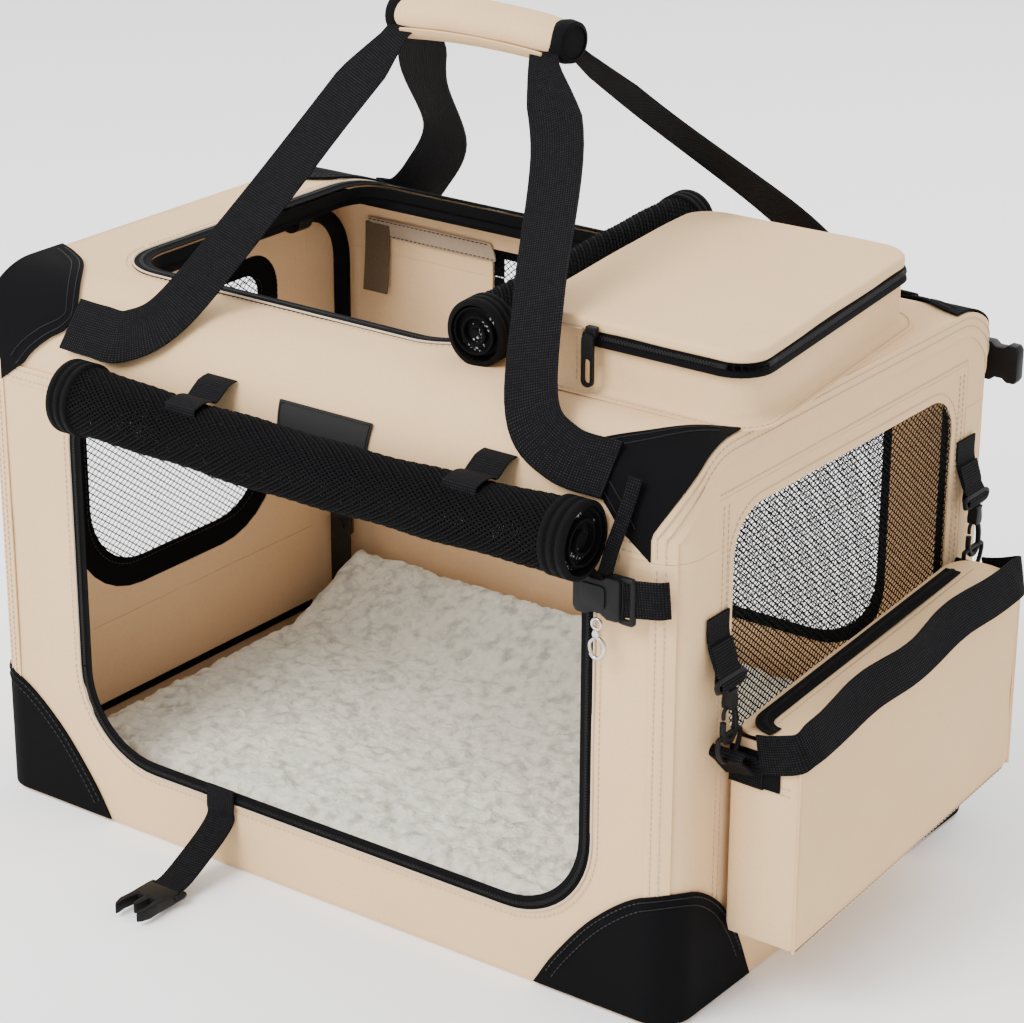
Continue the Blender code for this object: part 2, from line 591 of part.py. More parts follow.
# ---- side pouch ---------------------------------------------------------------------------
def make_pouch(mats):
    low, high = POUCH_Z
    wall = 0.002
    body = box("pouch_body", (POUCH_X[0], -POUCH_HALF, low), (POUCH_X[1], POUCH_HALF, high - 0.004),
               mats["fabric"])
    cut(body, box("pouch_inside", (POUCH_X[0] + wall, -POUCH_HALF + wall, low + wall),
                  (POUCH_X[1] - wall, POUCH_HALF - wall, high + 0.02), cutter=True))
    put_origin(body, (RING_X, 0, RING_Z))
    lid = box("pouch_flap", (POUCH_X[0], -POUCH_HALF, high - 0.0035), (POUCH_X[1], POUCH_HALF, high - 0.0010),
              mats["fabric"])
    put_origin(lid, (POUCH_X[1], 0, high - 0.0005))
    strap = box("pouch_strap", (POUCH_X[1] + GAP, -0.143, 0.163), (POUCH_X[1] + 0.0028, 0.143, 0.190),
                mats["webbing"])
    put_origin(strap, (RING_X, 0, RING_Z))
    for word, side in (("front", -1), ("back", 1)):
        y = side * RING_Y
        drop = 0.017
        ring = [(RING_X, y + u, RING_Z + v) for u, v in
                ((-0.011, 0), (0.011, 0), (0.011, -0.007), (0.007, -drop), (-0.007, -drop), (-0.011, -0.007))]
        made = tube("pouch_ring_" + word, ring, 0.0015, mats["plastic"], closed=True)
        put_origin(made, (RING_X, 0, RING_Z))
        loop = [(RING_X + 0.0068 * math.sin(a), y, RING_Z + 0.0032 + 0.0068 * math.cos(a))
                for a in [2 * math.pi * i / 14 for i in range(14)]]
        hook = tube("snap_hook_" + word, loop, 0.0018, mats["plastic"], closed=True)
        stem = rod("hook_stem", (RING_X, y, RING_Z + 0.0225), (0, 0, 1), 0.0045, 0.0260, cutter=True, sides=14)
        head = box("hook_head", (RING_X - 0.0035, y - 0.013, RING_Z + 0.033),
                   (RING_X + 0.0035, y + 0.013, RING_Z + 0.040), cutter=True)
        unite(hook, stem, head)
        top_z = 0.284
        strip("pouch_hanger_" + word, [Vector((RING_X, y, RING_Z + 0.0406)), Vector((RING_X - 0.003, y, 0.262)),
                                       Vector((0.3035, y, top_z))], [(0, 1, 0)] * 3, WEB_THICK,
              0.0125, mats["webbing"])


def main():
    for thing in list(bpy.data.objects):
        bpy.data.objects.remove(thing)
    bpy.context.scene.collection.children.link(COLLECTION)
    bpy.context.scene.collection.children.link(CUTTERS)
    mats = make_materials()
    forms = {"outer": bag_form("outer_form", 0.0), "inner": bag_form("inner_form", -CLOTH)}
    make_root_panels(forms, mats)
    make_roof(forms, mats)
    make_end_panels(forms, mats)
    make_patches(mats)
    make_frame(mats)
    make_rails(mats)
    make_rolls(mats)
    make_pocket(mats)
    make_straps(mats)
    make_buckles(mats)
    make_plug("front", -1, -0.082, mats)
    make_plug("back", 1, 0.085, mats)
    make_clasp(mats)
    make_pouch(mats)


main()
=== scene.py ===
"""The looks of a soft-sided folding pet carrier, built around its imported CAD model."""
import math

import bmesh
import bpy
import numpy as np
from mathutils import Matrix, Vector, noise
from mathutils.geometry import delaunay_2d_cdt


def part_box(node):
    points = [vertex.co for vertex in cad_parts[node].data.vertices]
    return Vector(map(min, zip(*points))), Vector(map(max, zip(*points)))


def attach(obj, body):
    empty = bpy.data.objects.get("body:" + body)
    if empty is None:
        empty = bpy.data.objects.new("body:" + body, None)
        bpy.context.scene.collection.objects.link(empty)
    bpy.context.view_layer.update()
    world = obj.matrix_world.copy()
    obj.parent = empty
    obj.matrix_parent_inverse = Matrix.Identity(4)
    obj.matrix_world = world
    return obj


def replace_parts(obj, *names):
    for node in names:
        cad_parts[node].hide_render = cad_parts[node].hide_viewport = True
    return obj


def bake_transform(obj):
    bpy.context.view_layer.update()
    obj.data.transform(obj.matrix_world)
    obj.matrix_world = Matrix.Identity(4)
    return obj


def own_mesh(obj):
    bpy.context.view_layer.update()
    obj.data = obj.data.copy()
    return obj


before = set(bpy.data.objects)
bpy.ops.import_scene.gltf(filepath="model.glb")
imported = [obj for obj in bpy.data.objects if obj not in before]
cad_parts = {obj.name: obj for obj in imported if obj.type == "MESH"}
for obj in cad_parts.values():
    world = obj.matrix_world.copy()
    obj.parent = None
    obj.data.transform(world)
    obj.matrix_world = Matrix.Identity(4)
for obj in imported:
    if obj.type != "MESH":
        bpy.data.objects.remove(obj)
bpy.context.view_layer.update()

# ---- driving dimensions, as the CAD model has them -----------------------------------------
HALF_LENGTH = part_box("floor_panel")[1][0]
HALF_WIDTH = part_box("floor_panel")[1][1]
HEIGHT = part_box("top_panel")[1][2]
PLAN_R = 0.022            # the cloth turns its corners tighter than the panels behind it
SHOULDER_R = 0.055
CLOTH = 0.003
BAND_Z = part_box("top_panel")[0][2]
END_TOP_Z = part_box("left_end_panel")[1][2]
END_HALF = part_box("left_end_panel")[1][1]
LEFT_PIVOT_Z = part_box("left_end_panel")[0][2]
RIGHT_PIVOT_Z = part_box("right_end_panel")[0][2]
PLAN_ARC = PLAN_R * math.pi / 2
SHOULDER_ARC = SHOULDER_R * math.pi / 2
ROOF_FLAT = HALF_WIDTH - SHOULDER_R
BAND_T = ROOF_FLAT + SHOULDER_ARC + (HEIGHT - SHOULDER_R - BAND_Z)
DOOR_X = (-0.215, 0.235)
DOOR_Z = (0.052, 0.3149)
DOOR_R = 0.068
TOP_X = (-0.245, 0.075)
TOP_Y = (-0.122, 0.172)
TOP_R = 0.045
WINDOW_HALF = 0.140
WINDOW_Z = (0.180, 0.345)


# ---- camera --------------------------------------------------------------------------------
def make_camera():
    forward = Vector((-0.54812, 0.74638, -0.37745)).normalized()
    roll = math.radians(0.2545)
    level = forward.cross(Vector((0, 0, 1))).normalized()
    lift = level.cross(forward)
    right = level * math.cos(roll) + lift * math.sin(roll)
    up = lift * math.cos(roll) - level * math.sin(roll)
    camera = bpy.data.objects.new("camera", bpy.data.cameras.new("camera"))
    camera.data.sensor_width = 36.0
    camera.data.lens = 109.22
    camera.data.clip_start = 0.05
    turn = Matrix((right, up, -forward)).transposed().to_4x4()
    camera.matrix_world = Matrix.Translation((1.24706, -1.66460, 1.07613)) @ turn
    bpy.context.scene.collection.objects.link(camera)
    bpy.context.scene.camera = camera


make_camera()


# ---- materials -----------------------------------------------------------------------------
class Nodes:
    """A small helper for building one material's node tree."""

    def __init__(self, name):
        self.made = bpy.data.materials.new(name)
        self.made.use_nodes = True
        self.tree = self.made.node_tree
        self.shader = self.tree.nodes["Principled BSDF"]

    def node(self, kind, **values):
        made = self.tree.nodes.new(kind)
        for key, value in values.items():
            if key in made.inputs:
                made.inputs[key].default_value = value
            else:
                setattr(made, key, value)
        return made

    def link(self, source, target):
        self.tree.links.new(source, target)

    def uv(self, scale_u, scale_v):
        """UV coordinates are metres on the cloth; the scale turns them into cells."""
        coords = self.node("ShaderNodeUVMap", uv_map="cloth")
        mapping = self.node("ShaderNodeMapping")
        mapping.inputs["Scale"].default_value = (scale_u, scale_v, 1)
        self.link(coords.outputs["UV"], mapping.inputs["Vector"])
        return mapping.outputs["Vector"]

    def place(self, scale):
        coords = self.node("ShaderNodeTexCoord")
        mapping = self.node("ShaderNodeMapping")
        mapping.inputs["Scale"].default_value = (scale, scale, scale)
        self.link(coords.outputs["Object"], mapping.inputs["Vector"])
        return mapping.outputs["Vector"]

    def noise(self, vector, scale, detail=3.0, rough=0.55):
        made = self.node("ShaderNodeTexNoise", Scale=scale, Detail=detail, Roughness=rough)
        self.link(vector, made.inputs["Vector"])
        return made.outputs["Fac"]

    def wave(self, vector, direction, scale, distort=0.0):
        made = self.node("ShaderNodeTexWave", Scale=scale, Distortion=distort, bands_direction=direction)
        self.link(vector, made.inputs["Vector"])
        return made.outputs["Fac"]

    def math(self, operation, a, b):
        made = self.node("ShaderNodeMath", operation=operation)
        for socket, value in zip(made.inputs, (a, b)):
            if isinstance(value, (int, float)):
                socket.default_value = value
            else:
                self.link(value, socket)
        return made.outputs[0]

    def ramp(self, source, stops):
        made = self.node("ShaderNodeValToRGB")
        while len(made.color_ramp.elements) < len(stops):
            made.color_ramp.elements.new(0.5)
        for element, (place, colour) in zip(made.color_ramp.elements, stops):
            element.position = place
            element.color = (*colour, 1)
        self.link(source, made.inputs["Fac"])
        return made.outputs["Color"]

    def bump(self, height, distance, strength=1.0, after=None):
        made = self.node("ShaderNodeBump", Distance=distance, Strength=strength)
        self.link(height, made.inputs["Height"])
        if after is not None:
            self.link(after, made.inputs["Normal"])
        return made.outputs["Normal"]


def shade(colour, factor):
    return tuple(min(1.0, c * factor) for c in colour)


def woven(name, colour, thread=0.0011, grain=0.06, rough=0.88, sheen=0.03, depth=0.00012, gloss=0.14):
    """Plain weave: two crossed sets of threads, with mottling and a soft sheen."""
    n = Nodes(name)
    cloth = n.uv(1.0, 1.0)
    cells = 0.5 / thread
    warp = n.wave(cloth, "X", cells)
    weft = n.wave(cloth, "Y", cells)
    weave = n.math("MAXIMUM", warp, weft)
    patches = n.noise(n.place(1.0), 9.0, 4.0)
    slubs = n.noise(n.place(1.0), 420.0, 2.0)
    mix = n.math("ADD", n.math("MULTIPLY", patches, 0.55), n.math("MULTIPLY", slubs, 0.45))
    tint = n.ramp(mix, [(0.30, shade(colour, 1 - grain)), (0.5, colour), (0.70, shade(colour, 1 + grain))])
    n.link(tint, n.shader.inputs["Base Color"])
    rough_value = n.math("ADD", n.math("MULTIPLY", slubs, 0.15), rough - 0.08)
    n.link(rough_value, n.shader.inputs["Roughness"])
    fine = n.bump(weave, depth, 0.6)
    soft = n.bump(n.noise(n.place(1.0), 55.0, 3.0), 0.0006, 0.35, fine)
    n.link(soft, n.shader.inputs["Normal"])
    n.shader.inputs["Sheen Weight"].default_value = sheen
    n.shader.inputs["Sheen Roughness"].default_value = 0.5
    n.shader.inputs["Specular IOR Level"].default_value = gloss
    return n.made


def ribbed(name, colour, rib=0.0022, rough=0.8, sheen=0.005, depth=0.0004, dot_highlight=2.2):
    """Strap webbing: ribs across the strap, crossed by fine warp threads along it; its tint is painted lighter on the
    raised weave and darker in the grooves.
    """
    n = Nodes(name)
    cloth = n.uv(1.0, 1.0)
    ribs = n.wave(cloth, "X", 0.5 / rib)
    threads = n.wave(cloth, "Y", 0.5 / (rib * 0.9))
    weave = n.math("MULTIPLY", ribs, threads)
    slubs = n.noise(n.place(1.0), 300.0, 2.0)
    # Painted highlight and shade: the tint follows the weave relief, lighter on the raised points and darker in the
    # grooves, varied at random by the slubs.
    tint = n.ramp(n.math("MULTIPLY", weave, slubs), [(0.05, shade(colour, 0.5)), (0.28, shade(colour, 1.6)),
                                                     (0.45, shade(colour, dot_highlight))])
    n.link(tint, n.shader.inputs["Base Color"])
    n.link(n.math("ADD", n.math("MULTIPLY", slubs, 0.2), rough - 0.1), n.shader.inputs["Roughness"])
    n.link(n.bump(weave, depth, 0.8), n.shader.inputs["Normal"])
    n.shader.inputs["Specular IOR Level"].default_value = 0.09
    n.shader.inputs["Sheen Weight"].default_value = sheen
    return n.made


def moulded(name, colour, rough=0.42, grain=0.00006):
    """Moulded plastic with a fine spark-eroded grain and rubbed, glossier patches."""
    n = Nodes(name)
    fine = n.noise(n.place(1.0), 1600.0, 2.0)
    worn = n.noise(n.place(1.0), 60.0, 3.0)
    n.link(n.ramp(worn, [(0.3, shade(colour, 0.8)), (0.7, shade(colour, 1.5))]), n.shader.inputs["Base Color"])
    n.link(n.math("ADD", n.math("MULTIPLY", worn, 0.22), rough - 0.1), n.shader.inputs["Roughness"])
    n.link(n.bump(fine, grain, 0.7), n.shader.inputs["Normal"])
    n.shader.inputs["Specular IOR Level"].default_value = 0.16
    return n.made


def metal(name, colour, rough, metallic=1.0):
    n = Nodes(name)
    smear = n.noise(n.place(1.0), 140.0, 4.0)
    n.link(n.ramp(smear, [(0.3, shade(colour, 0.8)), (0.7, shade(colour, 1.1))]), n.shader.inputs["Base Color"])
    n.link(n.math("ADD", n.math("MULTIPLY", smear, 0.16), rough - 0.06), n.shader.inputs["Roughness"])
    n.link(n.bump(n.noise(n.place(1.0), 900.0, 2.0), 0.00003, 0.5), n.shader.inputs["Normal"])
    n.shader.inputs["Metallic"].default_value = metallic
    return n.made


def fleece(name, colour):
    n = Nodes(name)
    curls = n.noise(n.place(1.0), 260.0, 5.0, 0.7)
    tufts = n.noise(n.place(1.0), 60.0, 4.0)
    cells = n.node("ShaderNodeTexVoronoi", Scale=115.0, feature="SMOOTH_F1")
    bent = n.node("ShaderNodeVectorMath", operation="ADD")
    n.link(n.place(1.0), bent.inputs[0])
    wobble = n.node("ShaderNodeTexNoise", Scale=70.0, Detail=2.0)
    n.link(n.place(1.0), wobble.inputs["Vector"])
    shift = n.node("ShaderNodeVectorMath", operation="SCALE")
    shift.inputs["Scale"].default_value = 0.016
    n.link(wobble.outputs["Color"], shift.inputs[0])
    n.link(shift.outputs["Vector"], bent.inputs[1])
    n.link(bent.outputs["Vector"], cells.inputs["Vector"])
    blobs = n.math("SUBTRACT", 1.0, cells.outputs["Distance"])
    # Painted shade: the tint follows the same relief as the bump, darker in the hollows between curls and a little
    # lighter on their tops; the curl and tuft noise also varies the tone at random.
    mix = n.math("ADD", n.math("MULTIPLY", curls, 0.35), n.math("MULTIPLY", tufts, 0.25))
    mix = n.math("ADD", mix, n.math("MULTIPLY", blobs, 0.4))
    tint = n.ramp(mix, [(0.38, shade(colour, 0.60)), (0.53, colour), (0.66, shade(colour, 1.10))])
    n.link(tint, n.shader.inputs["Base Color"])
    n.link(n.math("ADD", n.math("MULTIPLY", curls, 0.1), 0.88), n.shader.inputs["Roughness"])
    n.link(n.bump(mix, 0.0060, 1.0), n.shader.inputs["Normal"])
    n.shader.inputs["Sheen Weight"].default_value = 0.2
    n.shader.inputs["Sheen Roughness"].default_value = 0.6
    n.shader.inputs["Specular IOR Level"].default_value = 0.1
    return n.made


def rolled_net(name):
    """Many layers of black net seen through each other, with light catching a few cells."""
    n = Nodes(name)
    where = n.place(1.0)
    specks = n.noise(where, 620.0, 2.0)
    streaks = n.noise(where, 45.0, 3.0)
    light = n.math("MULTIPLY", n.math("GREATER_THAN", specks, 0.60), n.math("GREATER_THAN", streaks, 0.53))
    tint = n.ramp(light, [(0.0, (0.004, 0.004, 0.005)), (1.0, (0.42, 0.41, 0.38))])
    n.link(tint, n.shader.inputs["Base Color"])
    n.shader.inputs["Roughness"].default_value = 0.8
    n.shader.inputs["Specular IOR Level"].default_value = 0.1
    return n.made


BEIGE = (0.700, 0.470, 0.255)
BLACK = (0.0022, 0.0022, 0.0027)
MAT = {
    "fabric": woven("oxford_beige", BEIGE),
    "lining": woven("lining_tan", (0.720, 0.470, 0.255), thread=0.0008, sheen=0.15),
    "roll": rolled_net("rolled_net_black"),
    "patch": woven("oxford_black", BLACK, grain=0.3, sheen=0.005, rough=0.9, gloss=0.07),
    "binding": woven("binding_black", BLACK, thread=0.0008, grain=0.3, sheen=0.005, rough=0.85, gloss=0.08),
    # The webbing's raised weave points are painted up to nine times lighter: painted highlights.
    "webbing": ribbed("webbing_black", BLACK, rib=0.0030, dot_highlight=9.0),
    "tape": ribbed("zip_tape_black", BLACK, rib=0.0012),
    "net": woven("net_cord_black", BLACK, thread=0.0006, grain=0.3, sheen=0.005, rough=0.8, gloss=0.1),
    "plastic": moulded("acetal_black", (0.0035, 0.0035, 0.0040), rough=0.5),
    "steel": metal("powder_coated_steel", (0.018, 0.018, 0.019), 0.42, 0.35),
    "chrome": metal("nickel_plate", (0.56, 0.55, 0.53), 0.24),
    "fleece": fleece("sherpa_white", (0.80, 0.775, 0.645)),
    "thread": woven("thread_beige", (0.585, 0.455, 0.320), thread=0.0005, rough=0.7),
    "dark_thread": woven("thread_black", (0.022, 0.022, 0.024), thread=0.0005, rough=0.6),
    "velcro": woven("loop_strip_grey", (0.36, 0.265, 0.185), thread=0.0007, grain=0.15, rough=0.95),
    "hooks": woven("hook_tab_brown", (0.110, 0.074, 0.044), thread=0.0007, grain=0.2, rough=0.95),
    "label": woven("blank_label_cloth", (0.020, 0.019, 0.019), thread=0.0005, grain=0.1, rough=0.7, gloss=0.1),
}


# ---- the bag's form ------------------------------------------------------------------------
def lump(points, scale, seed):
    """Smooth noise from -1 to 1 at each point, for cloth that isn't quite flat."""
    shift = Vector((seed * 3.1, seed * 1.7, seed * 2.3))
    return np.array([noise.noise(Vector(p) * scale + shift) for p in points])


def roof_place(u, v):
    """The roof sheet: u runs along X, v is the arc length from the roof's centre line."""
    side = np.sign(v)
    run = np.abs(v)
    bend = np.clip((run - ROOF_FLAT) / SHOULDER_R, 0, math.pi / 2)
    drop = np.clip(run - ROOF_FLAT - SHOULDER_ARC, 0, None)
    y = side * (np.minimum(run, ROOF_FLAT) + SHOULDER_R * np.sin(bend))
    z = HEIGHT - SHOULDER_R + SHOULDER_R * np.cos(bend) - drop
    past = np.clip(np.abs(y) - (HALF_WIDTH - PLAN_R), 0, PLAN_R)
    reach = HALF_LENGTH - PLAN_R + np.sqrt(PLAN_R ** 2 - past ** 2)
    point = np.stack([u / HALF_LENGTH * reach, y, z], -1)
    normal = np.stack([np.zeros_like(u), side * np.sin(bend), np.cos(bend)], -1)
    return point, normal


def wall_place(side_y):
    """A long wall: u is the arc length along the plan from the wall's middle, v is height."""
    straight = HALF_LENGTH - PLAN_R

    def place(u, v):
        side = np.sign(u)
        run = np.abs(u)
        bend = np.clip((run - straight) / PLAN_R, 0, math.pi / 2)
        past = np.clip(run - straight - PLAN_ARC, 0, None)
        x = side * (np.minimum(run, straight) + PLAN_R * np.sin(bend))
        y = side_y * (HALF_WIDTH - PLAN_R + PLAN_R * np.cos(bend) - past)
        normal = np.stack([side * np.sin(bend), side_y * np.cos(bend), np.zeros_like(u)], -1)
        return np.stack([x, y, v], -1), normal
    return place


def end_place(side_x):
    """A flat end: u runs along Y, v is height."""
    def place(u, v):
        point = np.stack([np.full_like(u, side_x * HALF_LENGTH), u, v], -1)
        normal = np.stack([np.full_like(u, side_x), np.zeros_like(u), np.zeros_like(u)], -1)
        return point, normal
    return place


# ---- making helpers ------------------------------------------------------------------------
def finish_mesh(name, mesh, finish, body, sharp=35.0):
    """A new piece from a mesh, with its finish and its body."""
    made = bpy.data.objects.new(name, mesh)
    bpy.context.scene.collection.objects.link(made)
    mesh.materials.clear()
    mesh.materials.append(MAT[finish])
    mesh.shade_smooth()
    mesh.set_sharp_from_angle(angle=math.radians(sharp))
    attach(made, body)
    return made


def mesh_from(name, verts, faces, uvs=None):
    """A mesh from arrays; uvs are per vertex, in metres."""
    mesh = bpy.data.meshes.new(name)
    mesh.from_pydata([tuple(map(float, v)) for v in verts], [], [tuple(map(int, f)) for f in faces])
    layer = mesh.uv_layers.new(name="cloth")
    if uvs is not None:
        index = np.empty(len(mesh.loops), np.int32)
        mesh.loops.foreach_get("vertex_index", index)
        layer.data.foreach_set("uv", np.asarray(uvs, np.float32)[index].ravel())
    mesh.validate()
    return mesh


def outline(low, high, radii, steps=8):
    """A rectangle with its own radius at each corner: low-low, high-low, high-high, low-high."""
    corners = [(low[0], low[1], 180), (high[0], low[1], 270), (high[0], high[1], 0), (low[0], high[1], 90)]
    points = []
    for (x, y, start), radius in zip(corners, radii):
        cx = x + (radius if x == low[0] else -radius)
        cy = y + (radius if y == low[1] else -radius)
        for i in range(steps + 1):
            a = math.radians(start + 90 * i / steps)
            points.append((cx + radius * math.cos(a), cy + radius * math.sin(a)))
    return points


def grow_outline(points, by):
    """Move an anticlockwise closed outline outward."""
    p = np.array(points)
    along = np.roll(p, -1, 0) - np.roll(p, 1, 0)
    along /= np.linalg.norm(along, axis=1)[:, None] + 1e-12
    return p + np.stack([along[:, 1], -along[:, 0]], -1) * by


def divided(points, step):
    """A closed outline with points added along its long straight stretches."""
    out = []
    for a, b in zip(points, list(points[1:]) + [points[0]]):
        count = max(1, math.ceil(math.dist(a, b) / step))
        for i in range(count):
            t = i / count
            out.append((a[0] + (b[0] - a[0]) * t, a[1] + (b[1] - a[1]) * t))
    return out


def inside_outline(points):
    p = np.array(points)
    q = np.roll(p, -1, 0)

    def test(u, v):
        u, v = np.asarray(u)[:, None], np.asarray(v)[:, None]
        crosses = (p[:, 1] > v) != (q[:, 1] > v)
        at = (q[:, 0] - p[:, 0]) * (v - p[:, 1]) / (q[:, 1] - p[:, 1] + 1e-15) + p[:, 0]
        return (crosses & (u < at)).sum(1) % 2 == 1
    return test


def flat_slab(name, region, holes, cell, thick):
    """A flat slab of cloth inside an outline, less its holes, cut into small triangles."""
    rings = [divided(ring, cell) for ring in [region, *holes]]
    rings = [[p for p, q in zip(ring, ring[1:] + ring[:1]) if math.dist(p, q) > 1e-6] for ring in rings]
    points, edges = [], []
    for ring in rings:
        base = len(points)
        points += ring
        edges += [(base + i, base + (i + 1) % len(ring)) for i in range(len(ring))]
    low, high = np.array(region).min(0), np.array(region).max(0)
    counts = np.maximum(2, np.round((high - low) / cell)).astype(int)
    u, v = np.meshgrid(*[np.linspace(low[i], high[i], counts[i] + 1)[1:-1] for i in (0, 1)])
    u, v = u.ravel(), v.ravel()
    good = inside_outline(region)(u, v)
    for hole in holes:
        good &= ~inside_outline(hole)(u, v)
    near = np.array(points)
    for i in np.flatnonzero(good):
        if np.hypot(near[:, 0] - u[i], near[:, 1] - v[i]).min() < cell * 0.45:
            good[i] = False
    points += list(zip(u[good], v[good]))
    flat, _, tris = delaunay_2d_cdt([Vector(p) for p in points], edges, [], 0, 1e-7)[:3]
    flat = np.array([tuple(p) for p in flat])
    tris = np.array([t[:3] for t in tris])
    middle = flat[tris].mean(1)
    good = inside_outline(region)(middle[:, 0], middle[:, 1])
    for hole in holes:
        good &= ~inside_outline(hole)(middle[:, 0], middle[:, 1])
    tris = tris[good]
    count = len(flat)
    verts = np.zeros((2 * count, 3))
    verts[:count, :2] = flat
    verts[count:, :2] = flat
    verts[count:, 2] = -thick
    faces = [tuple(t) for t in tris] + [tuple(t[::-1] + count) for t in tris]
    seen = {}
    for a, b, c in tris:
        for edge in ((a, b), (b, c), (c, a)):
            seen[edge] = True
    faces += [(a, a + count, b + count, b)[::-1] for a, b in seen if (b, a) not in seen]
    mesh = bpy.data.meshes.new(name)
    mesh.from_pydata(verts.tolist(), [], [tuple(int(i) for i in f) for f in faces])
    form = bmesh.new()
    form.from_mesh(mesh)
    bmesh.ops.delete(form, geom=[v for v in form.verts if not v.link_faces], context="VERTS")
    bmesh.ops.recalc_face_normals(form, faces=form.faces)
    form.to_mesh(mesh)
    form.free()
    return mesh


def place_slab(mesh, place, grow=0.0, wrinkle=0.0012, seed=0, calm=None):
    """Lay a flat slab on a surface. The cloth lifts and dips a little, except where calm says."""
    count = len(mesh.vertices)
    co = np.empty(count * 3)
    mesh.vertices.foreach_get("co", co)
    co = co.reshape(-1, 3)
    index = np.empty(len(mesh.loops), np.int32)
    mesh.loops.foreach_get("vertex_index", index)
    layer = mesh.uv_layers.get("cloth") or mesh.uv_layers.new(name="cloth")
    layer.data.foreach_set("uv", co[index][:, :2].astype(np.float32).ravel())
    point, normal = place(co[:, 0], co[:, 1])
    lift = np.full(count, grow)
    if wrinkle:
        flat = np.stack([co[:, 0], co[:, 1], np.zeros(count)], -1)
        bumps = lump(flat, 9.0, seed) * 0.65 + lump(flat, 24.0, seed + 5) * 0.35
        weight = 1.0 if calm is None else calm(co[:, 0], co[:, 1])
        lift = lift + (bumps - 0.35) * wrinkle * weight
    laid = point + normal * (co[:, 2] + lift)[:, None]
    mesh.vertices.foreach_set("co", laid.ravel())
    mesh.update()
    return mesh


def rectangle(u_range, v_range):
    return [(u_range[0], v_range[0]), (u_range[1], v_range[0]), (u_range[1], v_range[1]), (u_range[0], v_range[1])]


def cloth_panel(name, region, place, finish, body, cell=0.007, thick=0.0014, holes=(),
                grow=0.0, wrinkle=0.0012, seed=0, calm=None):
    mesh = flat_slab(name, region, holes, cell, thick)
    place_slab(mesh, place, grow, wrinkle, seed, calm)
    return finish_mesh(name, mesh, finish, body)


def sweep(path, normals, profile, closed=False):
    """Sweep a flat closed profile along a path. Profile points are (across, out), in metres."""
    path, normals = np.array(path, float), np.array(normals, float)
    count = len(path)
    if closed:
        along = np.roll(path, -1, 0) - np.roll(path, 1, 0)
    else:
        along = np.gradient(path, axis=0)
    along /= np.linalg.norm(along, axis=1)[:, None] + 1e-12
    normals -= along * (normals * along).sum(1)[:, None]
    normals /= np.linalg.norm(normals, axis=1)[:, None] + 1e-12
    across = np.cross(along, normals)
    steps = np.linalg.norm(np.diff(path, axis=0), axis=1)
    length = np.concatenate([[0], np.cumsum(steps)])
    k = len(profile)
    shape = np.broadcast_to(np.array(profile, float), (count, k, 2))
    verts = (path[:, None] + across[:, None] * shape[..., :1] + normals[:, None] * shape[..., 1:]).reshape(-1, 3)
    uvs = np.stack(np.broadcast_arrays(length[:, None], shape[..., 0] + shape[..., 1]), -1).reshape(-1, 2)
    faces = []
    for i in range(count if closed else count - 1):
        j = (i + 1) % count
        for a in range(k):
            b = (a + 1) % k
            faces.append((i * k + a, i * k + b, j * k + b, j * k + a))
    if not closed:
        faces.append(tuple(range(k))[::-1])
        faces.append(tuple((count - 1) * k + a for a in range(k)))
    return verts, faces, uvs


def fixed_normals(mesh):
    form = bmesh.new()
    form.from_mesh(mesh)
    bmesh.ops.recalc_face_normals(form, faces=form.faces)
    form.to_mesh(mesh)
    form.free()
    return mesh


def swept(name, path, normals, profile, finish, body, closed=False, sharp=40.0):
    verts, faces, uvs = sweep(path, normals, profile, closed)
    return finish_mesh(name, fixed_normals(mesh_from(name, verts, faces, uvs)), finish, body, sharp)


def round_profile(radius, sides=8):
    return [(radius * math.cos(a), radius * math.sin(a)) for a in full_turn(sides)]


def strap_profile(width, thick, edge=0.0006):
    """A webbing cross-section: flat, with slightly rounded edges."""
    w, t = width / 2, thick / 2
    return [(-w, -t + edge), (-w + edge, -t), (0, -t * 1.05), (w - edge, -t), (w, -t + edge), (w, t - edge),
            (w - edge, t), (0, t * 1.05), (-w + edge, t), (-w, t - edge)]


def full_turn(count):
    """Evenly spaced angles round a circle."""
    return np.linspace(0, 2 * math.pi, count, endpoint=False)


def smooth(points, steps=6):
    """Catmull-Rom points through a short list of places."""
    p = [Vector(v) for v in points]
    ends = [p[0] * 2 - p[1], *p, p[-1] * 2 - p[-2]]
    out = []
    for a, b, c, d in zip(ends, ends[1:], ends[2:], ends[3:]):
        for i in range(steps):
            t = i / steps
            out.append(0.5 * (2 * b + (c - a) * t + (2 * a - 5 * b + 4 * c - d) * t * t
                              + (3 * b - a - 3 * c + d) * t ** 3))
    return out + [p[-1]]


def resample(path, step, closed=False):
    """Points along a path at an even step."""
    p = np.array(path, float)
    if closed:
        p = np.vstack([p, p[:1]])
    seg = np.linalg.norm(np.diff(p, axis=0), axis=1)
    at = np.concatenate([[0], np.cumsum(seg)])
    count = max(2, int(at[-1] / step))
    want = np.linspace(0, at[-1], count, endpoint=not closed)
    return np.stack([np.interp(want, at, p[:, i]) for i in range(p.shape[1])], -1)


def on_surface(flat_path, place, lift, step=0.004, closed=False):
    """A flat path laid on a surface: its points and normals."""
    flat = resample(flat_path, step, closed)
    point, normal = place(flat[:, 0], flat[:, 1])
    return point + normal * lift, normal


